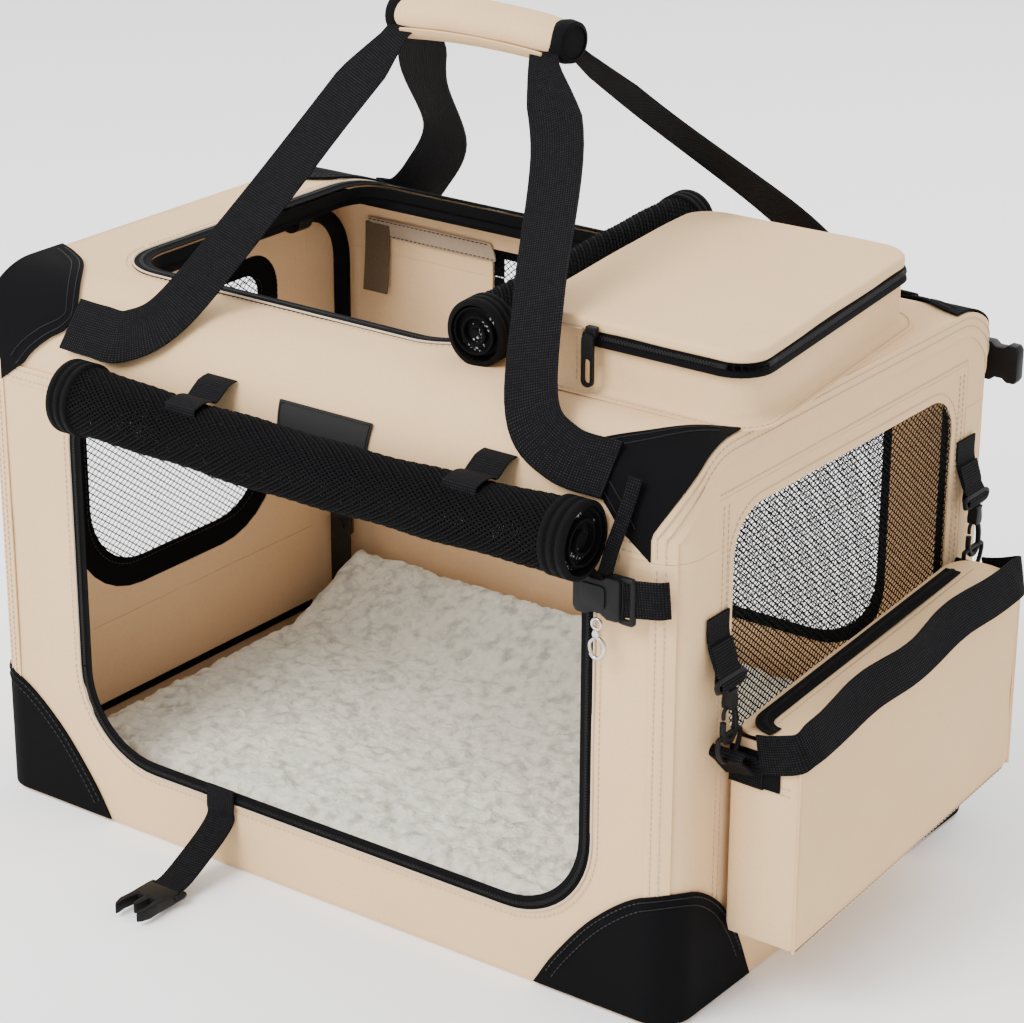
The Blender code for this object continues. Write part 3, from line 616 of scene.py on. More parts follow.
def solid(name, points, origin, ex, ey, depth, soften, finish, body):
    """A solid cut from an outline in the plane of ex and ey, centred on that plane, with soft edges."""
    ex, ey = Vector(ex).normalized(), Vector(ey).normalized()
    ez = ex.cross(ey)
    form = bmesh.new()
    origin = Vector(origin)
    rings = [[form.verts.new(origin + ex * x + ey * y + ez * side * depth / 2) for x, y in points]
             for side in (-1, 1)]
    form.faces.new(rings[0][::-1])
    form.faces.new(rings[1])
    for i in range(len(points)):
        j = (i + 1) % len(points)
        form.faces.new((rings[0][i], rings[0][j], rings[1][j], rings[1][i]))
    bmesh.ops.recalc_face_normals(form, faces=form.faces)
    rim = [e for e in form.edges if e.calc_face_angle(0) > math.radians(40)]
    bmesh.ops.bevel(form, geom=rim, offset=soften, segments=2, affect="EDGES", profile=0.6, clamp_overlap=True)
    mesh = bpy.data.meshes.new(name)
    form.to_mesh(mesh)
    form.free()
    mesh.uv_layers.new(name="cloth")
    return finish_mesh(name, mesh, finish, body, 40)


def ring_piece(name, points, radius, finish, body, slot, normal, closed=True):
    """A bent rod through places."""
    path = smooth(points + points[:1])[:-1] if closed else smooth(points)
    path = resample(path, 0.0012, closed)
    return swept(name, path, facing(normal, path), round_profile(radius), finish, body, closed, 60)


def facing(direction, points):
    """The same direction at every point."""
    return np.tile(np.array(direction, float), (len(points), 1))


def offsets(origin, places, turn=1):
    """Points given in millimetres from an origin; turn mirrors them in Y."""
    return [tuple(np.array(origin) + np.array((x, turn * y, z)) * 0.001) for x, y, z in places]


def box_outline(half_x, half_y):
    return [(-half_x, -half_y), (half_x, -half_y), (half_x, half_y), (-half_x, half_y)]


# ---- stitching -----------------------------------------------------------------------------
STITCHES = {}


def stitch(points, normals, body, finish="thread", pitch=0.0042, length=0.0030, radius=0.00042, fold=False,
           closed=False):
    """Add a row of stitches along a path; all the rows of one body and thread become one piece."""
    both = np.hstack([np.array(points, float), np.array(normals, float)])
    line = resample(both, pitch / 4, closed)
    rows = STITCHES.setdefault((body, finish, fold), [])
    for i in range(0, len(line) - 3, 4):
        a, b = line[i, :3], line[i + 3, :3]
        up = line[i, 3:] / (np.linalg.norm(line[i, 3:]) + 1e-9)
        rows.append((a, a + (b - a) * min(1.0, length / max(np.linalg.norm(b - a), 1e-6)), up, radius))


def make_stitches():
    for (body, finish, fold), rows in STITCHES.items():
        verts, faces = [], []
        for a, b, up, radius in rows:
            along = b - a
            across = np.cross(along, up)
            across /= np.linalg.norm(across) + 1e-9
            base = len(verts)
            for share, size in ((0.0, 0.35), (0.2, 1.0), (0.8, 1.0), (1.0, 0.35)):
                centre = a + along * share + up * radius * (0.2 if size < 1 else 0.55)
                for angle in (0, 60, 120, 180, 240, 300):
                    t = math.radians(angle)
                    verts.append(centre + (across * math.cos(t) + up * math.sin(t)) * radius * size)
            for ring in range(3):
                for k in range(6):
                    j = (k + 1) % 6
                    faces.append((base + ring * 6 + k, base + ring * 6 + j, base + ring * 6 + 6 + j,
                                  base + ring * 6 + 6 + k))
            faces.append(tuple(base + k for k in range(5, -1, -1)))
            faces.append(tuple(base + 18 + k for k in range(6)))
        uvs = np.array(verts)[:, :2]
        mesh = fixed_normals(mesh_from("stitches", verts, faces, uvs))
        made = finish_mesh("stitches_%s_%s%s" % (body, finish, "_wall" if fold else ""), mesh, finish, body,
                           80.0)
        if fold:
            fold_wall(made)


def fold_wall(piece):
    """Give a long-wall piece its own copy of its mesh."""
    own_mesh(piece)


# ---- net -----------------------------------------------------------------------------------
def net(name, inside, u_range, v_range, place, body, cell=(0.0050, 0.0036), strand=0.00042, sag=None):
    """A knitted net: two crossing sets of slanted cords, clipped to an outline."""
    verts, faces, uvs = [], [], []
    slope = cell[1] / cell[0]
    width, height = u_range[1] - u_range[0], v_range[1] - v_range[0]
    step = math.hypot(*cell) / 2
    for direction in (1, -1):
        count = int((width + height / slope) / cell[0]) + 2
        for n in range(count):
            start = u_range[0] - (height / slope if direction > 0 else 0) + n * cell[0]
            samples = int(height / slope / (cell[0] / 2)) + 1
            t = np.arange(samples + 1)
            v = v_range[0] + t * cell[1] / 2
            u = start + direction * t * cell[0] / 2
            good = inside(u, v)
            lift = np.where((t + n) % 2 == 0, 1, -1) * direction * strand * 0.7
            point, normal = place(u, v)
            if sag is not None:
                lift = lift + sag(u, v)
            centre = point + normal * lift[:, None]
            i = 0
            while i < len(t):
                if not good[i]:
                    i += 1
                    continue
                j = i
                while j + 1 < len(t) and good[j + 1]:
                    j += 1
                if j > i:
                    add_cord(verts, faces, uvs, centre[i:j + 1], normal[i:j + 1], strand)
                i = j + 1
    mesh = mesh_from(name, verts, faces, uvs)
    return finish_mesh(name, mesh, "net", body, 60.0)


def add_cord(verts, faces, uvs, path, normals, radius):
    """Add a thin square-sectioned cord to the lists."""
    along = np.gradient(path, axis=0)
    along /= np.linalg.norm(along, axis=1)[:, None] + 1e-12
    across = np.cross(along, normals)
    base = len(verts)
    for p, a, up in zip(path, across, normals):
        for x, y in ((1, 0), (0, 1), (-1, 0), (0, -1)):
            verts.append(p + (a * x + up * y * 0.8) * radius)
            uvs.append((p[0] + p[1], p[2]))
    for i in range(len(path) - 1):
        for k in range(4):
            j = (k + 1) % 4
            faces.append((base + i * 4 + k, base + i * 4 + j, base + i * 4 + 4 + j, base + i * 4 + 4 + k))


# ---- zips ----------------------------------------------------------------------------------
def zip_line(name, path, normals, body, slot="webbing", width=0.014, closed=False, fold=False, lift=0.0006):
    """A zip: two tapes and a coil down the middle."""
    path, normals = np.array(path), np.array(normals)
    pieces = [swept(name + "_tape", path + normals * lift, normals,
                    [(-width / 2, -0.0004), (width / 2, -0.0004), (width / 2, 0.0004), (0, 0.0007),
                     (-width / 2, 0.0004)], "tape", body, closed)]
    both = resample(np.hstack([path, normals]), 0.0011, closed)
    n = len(both)
    along = np.gradient(both[:, :3], axis=0)
    along /= np.linalg.norm(along, axis=1)[:, None] + 1e-9
    across = np.cross(along, both[:, 3:])
    verts, faces = [], []
    for i in range(0, n - 1):
        p, up, a, side = both[i, :3] + both[i, 3:] * (lift + 0.0008), both[i, 3:], along[i], across[i]
        base = len(verts)
        tilt = 1 if i % 2 else -1
        for s, t in ((-1, -1), (1, -1), (1, 1), (-1, 1)):
            verts.append(p + side * s * 0.0017 + a * (t * 0.00042 + s * tilt * 0.00025))
            verts.append(p + side * s * 0.0012 + a * (t * 0.00036 + s * tilt * 0.00025) + up * 0.0009)
        for k in range(4):
            j = (k + 1) % 4
            faces.append((base + 2 * k, base + 2 * j, base + 2 * j + 1, base + 2 * k + 1))
        faces.append((base + 1, base + 3, base + 5, base + 7))
        faces.append((base + 6, base + 4, base + 2, base + 0))
    mesh = mesh_from(name + "_coil", verts, faces, np.array(verts)[:, :2])
    pieces.append(finish_mesh(name + "_coil", mesh, "plastic", body, 30.0))
    if fold:
        for piece in pieces:
            fold_wall(piece)
    return pieces


def end_wrap(side_x):
    """Round an end: u is the arc length along the plan from the end's middle, v is height."""
    straight = HALF_WIDTH - PLAN_R

    def place(u, v):
        side = np.sign(u)
        run = np.abs(u)
        bend = np.clip((run - straight) / PLAN_R, 0, math.pi / 2)
        past = np.clip(run - straight - PLAN_ARC, 0, None)
        y = side * (np.minimum(run, straight) + PLAN_R * np.sin(bend))
        x = side_x * (HALF_LENGTH - PLAN_R + PLAN_R * np.cos(bend) - past)
        normal = np.stack([side_x * np.cos(bend), side * np.sin(bend), np.zeros_like(u)], -1)
        return np.stack([x, y, v], -1), normal
    return place


# ---- cloth shell ---------------------------------------------------------------------------
BACK_X = (-0.140, 0.222)  # net window in the back wall; its top reaches up into the roof band
BACK_LOW_Z = 0.098
BACK_TOP_V = ROOF_FLAT + SHOULDER_ARC - 0.007
BACK_R = 0.060
BAND_STRETCH = HALF_LENGTH / (HALF_LENGTH - PLAN_R)   # from X to the roof sheet's u, low on its band
BACK_U = (BACK_X[0] * BAND_STRETCH, BACK_X[1] * BAND_STRETCH)


def back_window(inset, top=BAND_Z + 0.02):
    """The lower part of the back window's outline; inset is positive inward."""
    return outline((BACK_X[0] + inset, BACK_LOW_Z + inset), (BACK_X[1] - inset, top),
                   [BACK_R - inset * 0.6, BACK_R - inset * 0.6, 0.0001, 0.0001])


def make_back_window():
    """Net across the back window, in a black border, in a part on the wall and a part on the roof band."""
    border, lap = 0.016, 0.007
    ring = back_window(-lap, BAND_Z - 0.0004)
    lower = cloth_panel("back_border_low", ring, wall_place(1), "binding", "root", 0.008, 0.0008,
                        [back_window(border - lap)], 0.0010, 0.0003, 14)
    fold_wall(lower)
    top_v = BACK_TOP_V
    left, right, inner = BACK_U[0] - lap, BACK_U[1] + lap, border - lap
    edge = [(left, BAND_T), (left, top_v - lap), (right, top_v - lap), (right, BAND_T),
            (BACK_U[1] - inner, BAND_T), (BACK_U[1] - inner, top_v + inner), (BACK_U[0] + inner, top_v + inner),
            (BACK_U[0] + inner, BAND_T)]
    cloth_panel("back_border_top", edge, roof_place, "binding", "top", 0.006, 0.0008, (), 0.0021, 0.0003, 15)
    low_net = net("back_net_low", inside_outline(back_window(-0.004, BAND_Z - 0.0005)),
                  (BACK_X[0] - 0.005, BACK_X[1] + 0.005), (BACK_LOW_Z - 0.005, BAND_Z), wall_place(1), "root", cell=(0.0062, 0.0050),
                  sag=lambda u, v: -0.0008 - 0.0012 * np.sin((u - BACK_X[0]) * 17) * np.sin((v - 0.1) * 13))
    fold_wall(low_net)
    net("back_net_top", lambda u, v: (u > BACK_U[0] - 0.004) & (u < BACK_U[1] + 0.004),
        (BACK_U[0] - 0.005, BACK_U[1] + 0.005),
        (top_v - 0.004, BAND_T), roof_place, "top", cell=(0.0062, 0.0050), sag=lambda u, v: np.full_like(u, -0.0008))
    for inset in (-0.004, 0.006):
        top_z = BAND_Z - 0.003
        line = [(BACK_X[0] + inset, top_z)] + [p for p in back_window(inset) if p[1] < top_z]
        stitch(*on_surface(line + [(BACK_X[1] - inset, top_z)], wall_place(1), 0.0012), "root",
               "dark_thread", fold=True)


OUTER = 0.0016            # the outer cloth; the lining lies against it
WALL_U = HALF_LENGTH - PLAN_R + PLAN_ARC + (HALF_WIDTH - PLAN_R - END_HALF) - 0.0003


def skins(name, region, place, body, holes=(), wrinkle=0.0016, seed=0, calm=None, fold=False):
    """An outer skin and its lining. They share one sag, so they never cross."""
    outer = cloth_panel(name, region, place, "fabric", body, 0.008, OUTER, holes, 0.0, wrinkle, seed,
                        calm)
    lining = cloth_panel(name + "_lining", region, place, "lining", body, 0.010, 0.0012, holes,
                         -OUTER - 0.0001, wrinkle, seed, calm)
    if fold:
        fold_wall(outer)
        fold_wall(lining)
    return outer, lining


def edge_calm(u_range, v_range, margin=0.035):
    """Sag fades to nothing at a panel's edges, where it is sewn."""
    def calm(u, v):
        edge = np.minimum(np.minimum(u - u_range[0], u_range[1] - u),
                          np.minimum(v - v_range[0], v_range[1] - v))
        return np.clip(edge / margin, 0, 1) ** 0.7
    return calm


def make_walls():
    door = outline((DOOR_X[0], DOOR_Z[0]), (DOOR_X[1], DOOR_Z[1]), [DOOR_R, DOOR_R, 0.02, 0.02])
    u_range, v_range = (-WALL_U, WALL_U), (0.0030, BAND_Z - 0.0002)
    wall = rectangle(u_range, v_range)
    calm = edge_calm(u_range, v_range)
    front = skins("front_wall", wall, wall_place(-1), "root", [door], 0.0016, 1, calm, True)
    back = skins("back_wall", wall, wall_place(1), "root", [back_window(0)], 0.0016, 2, calm, True)
    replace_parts(front[0], "front_panel")
    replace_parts(back[0], "back_panel")
    for word, side, pivot in (("left", -1, LEFT_PIVOT_Z), ("right", 1, RIGHT_PIVOT_Z)):
        sill = skins(word + "_sill", rectangle((-END_HALF, END_HALF), (0.0030, pivot - 0.0003)), end_place(side),
                     "root", wrinkle=0.0006, seed=3)
        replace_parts(sill[0], word + "_sill_panel")
    inset = 0.001
    floor = cloth_panel("floor_cloth", outline((inset - HALF_LENGTH, inset - HALF_WIDTH),
                                               (HALF_LENGTH - inset, HALF_WIDTH - inset), [PLAN_R] * 4),
                        floor_place, "lining", "root", cell=0.02, thick=0.0028, grow=CLOTH, wrinkle=0)
    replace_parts(floor, "floor_panel")


def floor_place(u, v):
    flat = np.zeros_like(u)
    return np.stack([u, v, flat], -1), np.stack([flat, flat, flat + 1], -1)


def make_roof():
    opening = outline((TOP_X[0], TOP_Y[0]), (TOP_X[1], TOP_Y[1]), [TOP_R] * 4)
    u_range, v_range = (-HALF_LENGTH, HALF_LENGTH), (-BAND_T, BAND_T)
    back_top = rectangle(BACK_U, (BACK_TOP_V, BAND_T + 0.01))
    roof = skins("roof", rectangle(u_range, v_range), roof_place, "top", [opening, back_top], 0.0022, 4,
                 edge_calm(u_range, v_range, 0.05))
    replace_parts(roof[0], "top_panel")
    for word, side in (("left", -1), ("right", 1)):
        skins(word + "_roof_end", roof_end_outline(), end_wrap(side), "top", wrinkle=0.0004, seed=5)


def roof_end_outline():
    """The roof cap's end: under the shoulders' curve, round the corners, with a notch for the end panel."""
    reach = HALF_WIDTH - PLAN_R
    half = [(END_HALF + 0.0003, END_TOP_Z + 0.0003), (END_HALF + 0.0003, BAND_Z), (reach + PLAN_ARC, BAND_Z)]
    for i in range(13):
        angle = math.pi / 2 * i / 12
        y = HALF_WIDTH - SHOULDER_R + SHOULDER_R * math.cos(angle)
        z = HEIGHT - SHOULDER_R + SHOULDER_R * math.sin(angle)
        u = y if y <= reach else reach + PLAN_R * math.asin(min(1.0, (y - reach) / PLAN_R))
        half.append((u, z))
    return half + [(-u, z) for u, z in half[::-1]]


def make_ends():
    low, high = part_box("left_mesh_door")
    hole = outline((low[1] + 0.004, low[2] + 0.004), (high[1] - 0.004, high[2] - 0.003),
                   [0.075, 0.075, 0.030, 0.030])
    left = skins("left_end", rectangle((-END_HALF, END_HALF), (LEFT_PIVOT_Z, END_TOP_Z)), end_place(-1),
                 "left_end", [hole], 0.0005, 6)
    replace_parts(left[0], "left_end_panel")
    window = outline((-WINDOW_HALF, WINDOW_Z[0]), (WINDOW_HALF, WINDOW_Z[1]), [0.03] * 4)
    right = skins("right_end", rectangle((-END_HALF, END_HALF), (RIGHT_PIVOT_Z, END_TOP_Z)), end_place(1),
                  "right_end", [window], 0.0005, 7)
    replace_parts(right[0], "right_end_panel")


def make_side_door():
    """The left end's door: net in a wide black border with a rounded bottom."""
    low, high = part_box("left_mesh_door")
    outer = outline((low[1], low[2]), (high[1], high[2]), [0.075, 0.075, 0.030, 0.030])
    border = 0.026
    net_low, net_high = (low[1] + border, low[2] + border), (high[1] - border, high[2] - border * 0.7)
    inner = outline(net_low, net_high, [0.056, 0.056, 0.016, 0.016])
    frame_piece = cloth_panel("side_door_border", outer, end_place(-1), "patch", "side_door", 0.008,
                              0.0018, [inner], -0.0004, 0.0003, 8)
    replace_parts(frame_piece, "left_mesh_door")
    tuck = 0.005
    net("side_door_net", inside_outline(grow_outline(inner, tuck * 0.8)), (net_low[0] - tuck, net_high[0] + tuck),
        (net_low[1] - tuck, net_high[1] + tuck), end_place(-1), "side_door", cell=(0.0074, 0.0056), strand=0.0005,
        sag=lambda u, v: -0.0012 + 0.0008 * np.sin(u * 41) * np.sin(v * 37))
    for by in (0.004, border - 0.003):
        for face in (1, -1):
            path, normal = on_surface(grow_outline(outer, -by), end_place(-1), -0.0004 if face > 0 else -0.0022,
                                      closed=True)
            stitch(path, normal * face, "side_door", "dark_thread", closed=True)


def make_window():
    """The right end's net window."""
    low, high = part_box("right_window_net")
    inner = outline((-WINDOW_HALF, WINDOW_Z[0]), (WINDOW_HALF, WINDOW_Z[1]), [0.03] * 4)
    made = net("window_net", inside_outline(grow_outline(inner, 0.003)), (low[1] - 0.003, high[1] + 0.003),
               (low[2] - 0.003, high[2] + 0.003), end_place(1), "right_end", cell=(0.0058, 0.0048), strand=0.00052,
               sag=lambda u, v: -0.0014 + 0.0006 * np.sin(u * 39) * np.sin(v * 31))
    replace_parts(made, "right_window_net")
    edge = rectangle((WINDOW_HALF - 0.0085, WINDOW_HALF + 0.008), (WINDOW_Z[0] - 0.004, WINDOW_Z[1] + 0.004))
    cloth_panel("window_binding", edge, end_place(1), "binding", "right_end", 0.01, 0.0008, (), -0.0031, 0)


# ---- seams, bands and corner patches ---------------------------------------------------------
def make_seams():
    """Hems along the seams, each with its rows of stitches."""
    straight = HALF_LENGTH - PLAN_R
    hem = 0.013
    runs = (("front", -1, -HALF_LENGTH, HALF_LENGTH), ("back_left", 1, -HALF_LENGTH, BACK_U[0] - 0.007),
            ("back_right", 1, BACK_U[1] + 0.007, HALF_LENGTH))
    for word, side, start, stop in runs:
        span = sorted((side * (BAND_T - hem), side * BAND_T))
        cloth_panel(word + "_band_hem", rectangle((start, stop), span), roof_place, "fabric", "top", cell=0.006,
                    thick=0.0012, grow=0.0010, wrinkle=0.0003, seed=9)
        for inset in (0.0035, 0.0095):
            path = [(u, side * (BAND_T - inset)) for u in np.linspace(start, stop, 80)]
            stitch(*on_surface(path, roof_place, 0.0011), "top")
    corner_u = HALF_WIDTH - PLAN_R + PLAN_ARC
    border = 0.017
    for word, side in (("left", -1), ("right", 1)):
        place = end_wrap(side)
        upper = roof_end_outline()[2:-2]
        inner = inner_line(upper, border)
        cloth_panel(word + "_crown_border", upper + inner[::-1], place, "fabric", "top", cell=0.006,
                    thick=0.0012, grow=0.0010, wrinkle=0.0003, seed=10)
        for inset in (0.0040, 0.0095):
            stitch(*on_surface(inner_line(upper, inset), place, 0.0011), "top")
        for turn in (-1, 1):
            span = sorted((turn * (corner_u - border), turn * corner_u))
            strip = cloth_panel("%s_corner_border_%s" % (word, "front" if turn < 0 else "back"),
                                rectangle(span, (0.004, BAND_Z - 0.0003)), place, "fabric", "root", cell=0.006,
                                thick=0.0012, grow=0.0010, wrinkle=0.0003, seed=11)
            fold_wall(strip)
            for inset in (0.0040, 0.0095):
                path = [(turn * (corner_u - inset), z) for z in np.linspace(0.004, BAND_Z - 0.001, 60)]
                stitch(*on_surface(path, place, 0.0011), "root", fold=True)
    seam = END_TOP_Z + 0.0035
    for side in (-1, 1):
        path = [(u, seam) for u in np.linspace(-END_HALF, END_HALF, 40)]
        stitch(*on_surface(path, end_place(side), 0.0001), "top")
    window = outline((-WINDOW_HALF, WINDOW_Z[0]), (WINDOW_HALF, WINDOW_Z[1]), [0.03] * 4)
    stitch(*on_surface(grow_outline(window, 0.006), end_place(1), 0.0001, closed=True), "right_end", closed=True)
    for y in (-END_HALF + 0.005, END_HALF - 0.005, -END_HALF + 0.0105, END_HALF - 0.0105):
        path = [(y, z) for z in np.linspace(RIGHT_PIVOT_Z + 0.006, END_TOP_Z - 0.004, 50)]
        stitch(*on_surface(path, end_place(1), 0.0001), "right_end")


def inner_line(points, by):
    """An open line moved to its left by a distance."""
    p = np.array(points)
    along = np.gradient(p, axis=0)
    along /= np.linalg.norm(along, axis=1)[:, None] + 1e-12
    return [tuple(v) for v in p + np.stack([-along[:, 1], along[:, 0]], -1) * by]


def make_patches():
    """Black reinforcing patches on the eight corners."""
    for word_y, side_y in (("front", -1), ("back", 1)):
        for word_x, side_x in (("left", -1), ("right", 1)):
            word = "%s_%s" % (word_y, word_x)
            top_v = 0.112 if side_x < 0 else 0.137
            edge = [(0.300, top_v), (0.278, top_v + 0.010), (0.252, top_v + 0.028), (0.2195, 0.184),
                    (0.2235, 0.200), (0.242, 0.2110), (0.264, 0.2240), (0.300, 0.2482)]
            line = [(side_x * p[0], side_y * p[1]) for p in smooth([(*e, 0) for e in edge])]
            patch = cloth_panel("crown_cloth_" + word, line, roof_place, "patch", "top", 0.005, 0.0014,
                                grow=0.0026, wrinkle=0.0006, seed=12)
            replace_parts(patch, "crown_patch_" + word)
            turn = side_x * side_y
            for inset in (0.003, 0.0085):
                stitch(*on_surface(inner_line(line, -inset * turn)[3:-3], roof_place, 0.0024), "top",
                       "dark_thread")
            dome = [(-0.1034, 0.0025), (-0.086, 0.030), (-0.056, 0.066), (-0.020, 0.093), (0.012, 0.0975),
                    (0.045, 0.078), (0.070, 0.045), (0.0894, 0.0025)]
            arc = [(p[0], p[1]) for p in smooth([(*e, 0) for e in dome])]
            foot = cloth_panel("foot_cloth_" + word, arc, corner_place(side_x, side_y), "patch", "root",
                               0.005, 0.0014, grow=0.0022, wrinkle=0.0005, seed=13)
            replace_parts(foot, "foot_patch_" + word)
            fold_wall(foot)
            for inset in (0.003, 0.0085):
                stitch(*on_surface(inner_line(arc, -inset)[3:-3], corner_place(side_x, side_y), 0.0021), "root",
                       "dark_thread", fold=True)


def corner_place(side_x, side_y):
    """Round one vertical corner: u is the arc length from its middle, growing towards the end."""
    def place(u, v):
        run = u + PLAN_ARC / 2
        bend = np.clip(run / PLAN_R, 0, math.pi / 2)
        before = np.clip(-run, 0, None)
        after = np.clip(run - PLAN_ARC, 0, None)
        x = side_x * (HALF_LENGTH - PLAN_R + PLAN_R * np.sin(bend) - before)
        y = side_y * (HALF_WIDTH - PLAN_R + PLAN_R * np.cos(bend) - after)
        normal = np.stack([side_x * np.sin(bend), side_y * np.cos(bend), np.zeros_like(u)], -1)
        return np.stack([x, y, v], -1), normal
    return place


def make_openings():
    """Zips and bindings round the doorway and the roof opening."""
    door = outline((DOOR_X[0], DOOR_Z[0]), (DOOR_X[1], DOOR_Z[1]), [DOOR_R, DOOR_R, 0.02, 0.02], 12)
    front = wall_place(-1)
    zip_line("door_zip", *on_surface(grow_outline(door, -0.0035), front, -0.0012, 0.004, True), "root",
             width=0.011, closed=True, fold=True)
    # Painted highlight: a thin tube in pale thread colour stands for the light line along the doorway's edge.
    path, normal = on_surface(grow_outline(door, 0.0015), front, 0.0003, 0.004, True)
    fold_wall(swept("door_highlight_piping", path, normal, round_profile(0.0009, 6), "thread", "root", True))
    stitch(*on_surface(grow_outline(door, 0.006), front, 0.0003, 0.004, True), "root", fold=True, closed=True)
    opening = outline((TOP_X[0], TOP_Y[0]), (TOP_X[1], TOP_Y[1]), [TOP_R] * 4, 12)
    zip_line("roof_zip", *on_surface(grow_outline(opening, -0.0045), roof_place, -0.0012, 0.004, True), "top",
             width=0.014, closed=True)
    # Painted highlight: a thin tube in pale thread colour stands for the light line along the roof opening's edge.
    path, normal = on_surface(grow_outline(opening, 0.0015), roof_place, 0.0002, 0.004, True)
    swept("roof_highlight_piping", path, normal, round_profile(0.0009, 6), "thread", "top", True)
    stitch(*on_surface(grow_outline(opening, 0.0065), roof_place, 0.0003, 0.004, True), "top", closed=True)
    hem, _ = on_surface(grow_outline(opening, -0.0110), roof_place, -0.0016, 0.006, True)
    along = np.roll(hem, -1, 0) - np.roll(hem, 1, 0)
    inward = np.cross((0, 0, 1.0), along)
    inward /= np.linalg.norm(inward, axis=1)[:, None]
    inward[:, 2] = 0
    for word, drop, back, height in (("upper", 0.0052, 0.0, 0.0085), ("lower", 0.0118, 0.0022, 0.0065)):
        swept("roof_tape_" + word, hem - (0, 0, drop) - inward * back, inward, strap_profile(height, 0.0014, 0.0004),
              "binding", "top", True)
    near = int(np.argmin(np.hypot(hem[:, 0] + 0.044, hem[:, 1] - TOP_Y[1])))
    rivet = hem[near] + inward[near] * 0.0012 - (0, 0, 0.0062)
    ring = [(rivet[0] + 0.0026 * math.cos(a), rivet[1], rivet[2] + 0.0026 * math.sin(a))
            for a in np.linspace(0, 2 * math.pi, 14, endpoint=False)]
    ring_piece("roof_rivet", ring, 0.0008, "chrome", "top", "bright_metal", (0, 1.0, 0))


# ---- webbing and grip ------------------------------------------------------------------------
def strap(name, places, across, width, body, thick=0.0022, steps=8):
    """Webbing through places, with the direction across it at each place."""
    path = np.array(smooth(places, steps))
    side = np.array(smooth(across, steps))
    along = np.gradient(path, axis=0)
    normal = np.cross(side, along)
    return swept(name, path, normal, strap_profile(width, thick), "webbing", body)


def gather(made, path, start, run, share):
    """Bunch a strap towards its middle line, above a height."""
    mesh = made.data
    places = np.empty(len(mesh.vertices) * 3)
    mesh.vertices.foreach_get("co", places)
    places = places.reshape(-1, 3)
    near = path[np.linalg.norm(places[:, None] - path[None], axis=2).argmin(1)]
    amount = np.clip((places[:, 2] - start) / run, 0, 1)[:, None] * share
    places += (near - places) * amount
    mesh.vertices.foreach_set("co", places.ravel())


def make_straps():
    routes = {
        "front_left": [(-0.215, -0.1935, 0.380), (-0.190, -0.1940, 0.3795), (-0.163, -0.194, 0.3815),
                       (-0.134, -0.178, 0.401), (-0.112, -0.122, 0.456), (-0.088, -0.055, 0.525),
                       (-0.064, -0.0185, 0.574)],
        "front_right": [(0.243, -0.1935, 0.378), (0.205, -0.194, 0.3815), (0.174, -0.183, 0.401),
                        (0.148, -0.140, 0.460), (0.104, -0.060, 0.528), (0.064, -0.0185, 0.574)],
        "back_right": [(0.243, 0.1935, 0.378), (0.208, 0.194, 0.3805), (0.176, 0.188, 0.402),
                       (0.138, 0.160, 0.445), (0.086, 0.080, 0.520), (0.062, 0.0185, 0.574)],
        "back_left": [(-0.243, 0.1935, 0.378), (-0.222, 0.194, 0.3815), (-0.196, 0.186, 0.404),
                      (-0.150, 0.150, 0.452), (-0.112, 0.075, 0.520), (-0.066, 0.0185, 0.574)],
    }
    six = [(0, .56, .83), (-.15, .55, .82), (-.72, .40, .57), (-.97, .10, .20), (-1, 0, 0), (-1, 0, 0)]
    seven = [(0, .60, .80), (0, .58, .81), (-.10, .56, .82), (-.66, .44, .60), (-.97, .10, .20), (-1, 0, 0),
             (-1, 0, 0)]
    for word, route in routes.items():
        flip_x = -1 if "right" in word else 1
        flip_y = -1 if "back" in word else 1
        turns = seven if len(route) == 7 else six
        across = [(x * flip_x, y * flip_y, z) for x, y, z in turns]
        route = route + [(-flip_x * 0.054, -flip_y * 0.0090, 0.5850)]
        across = across + [(-flip_x, 0, 0.2)]
        made = strap("carry_webbing_" + word, route, across, 0.038, "top")
        gather(made, np.array(smooth(route, 8)), 0.548, 0.028, 0.5)
        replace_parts(made, "carry_strap_" + word)
        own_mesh(made)


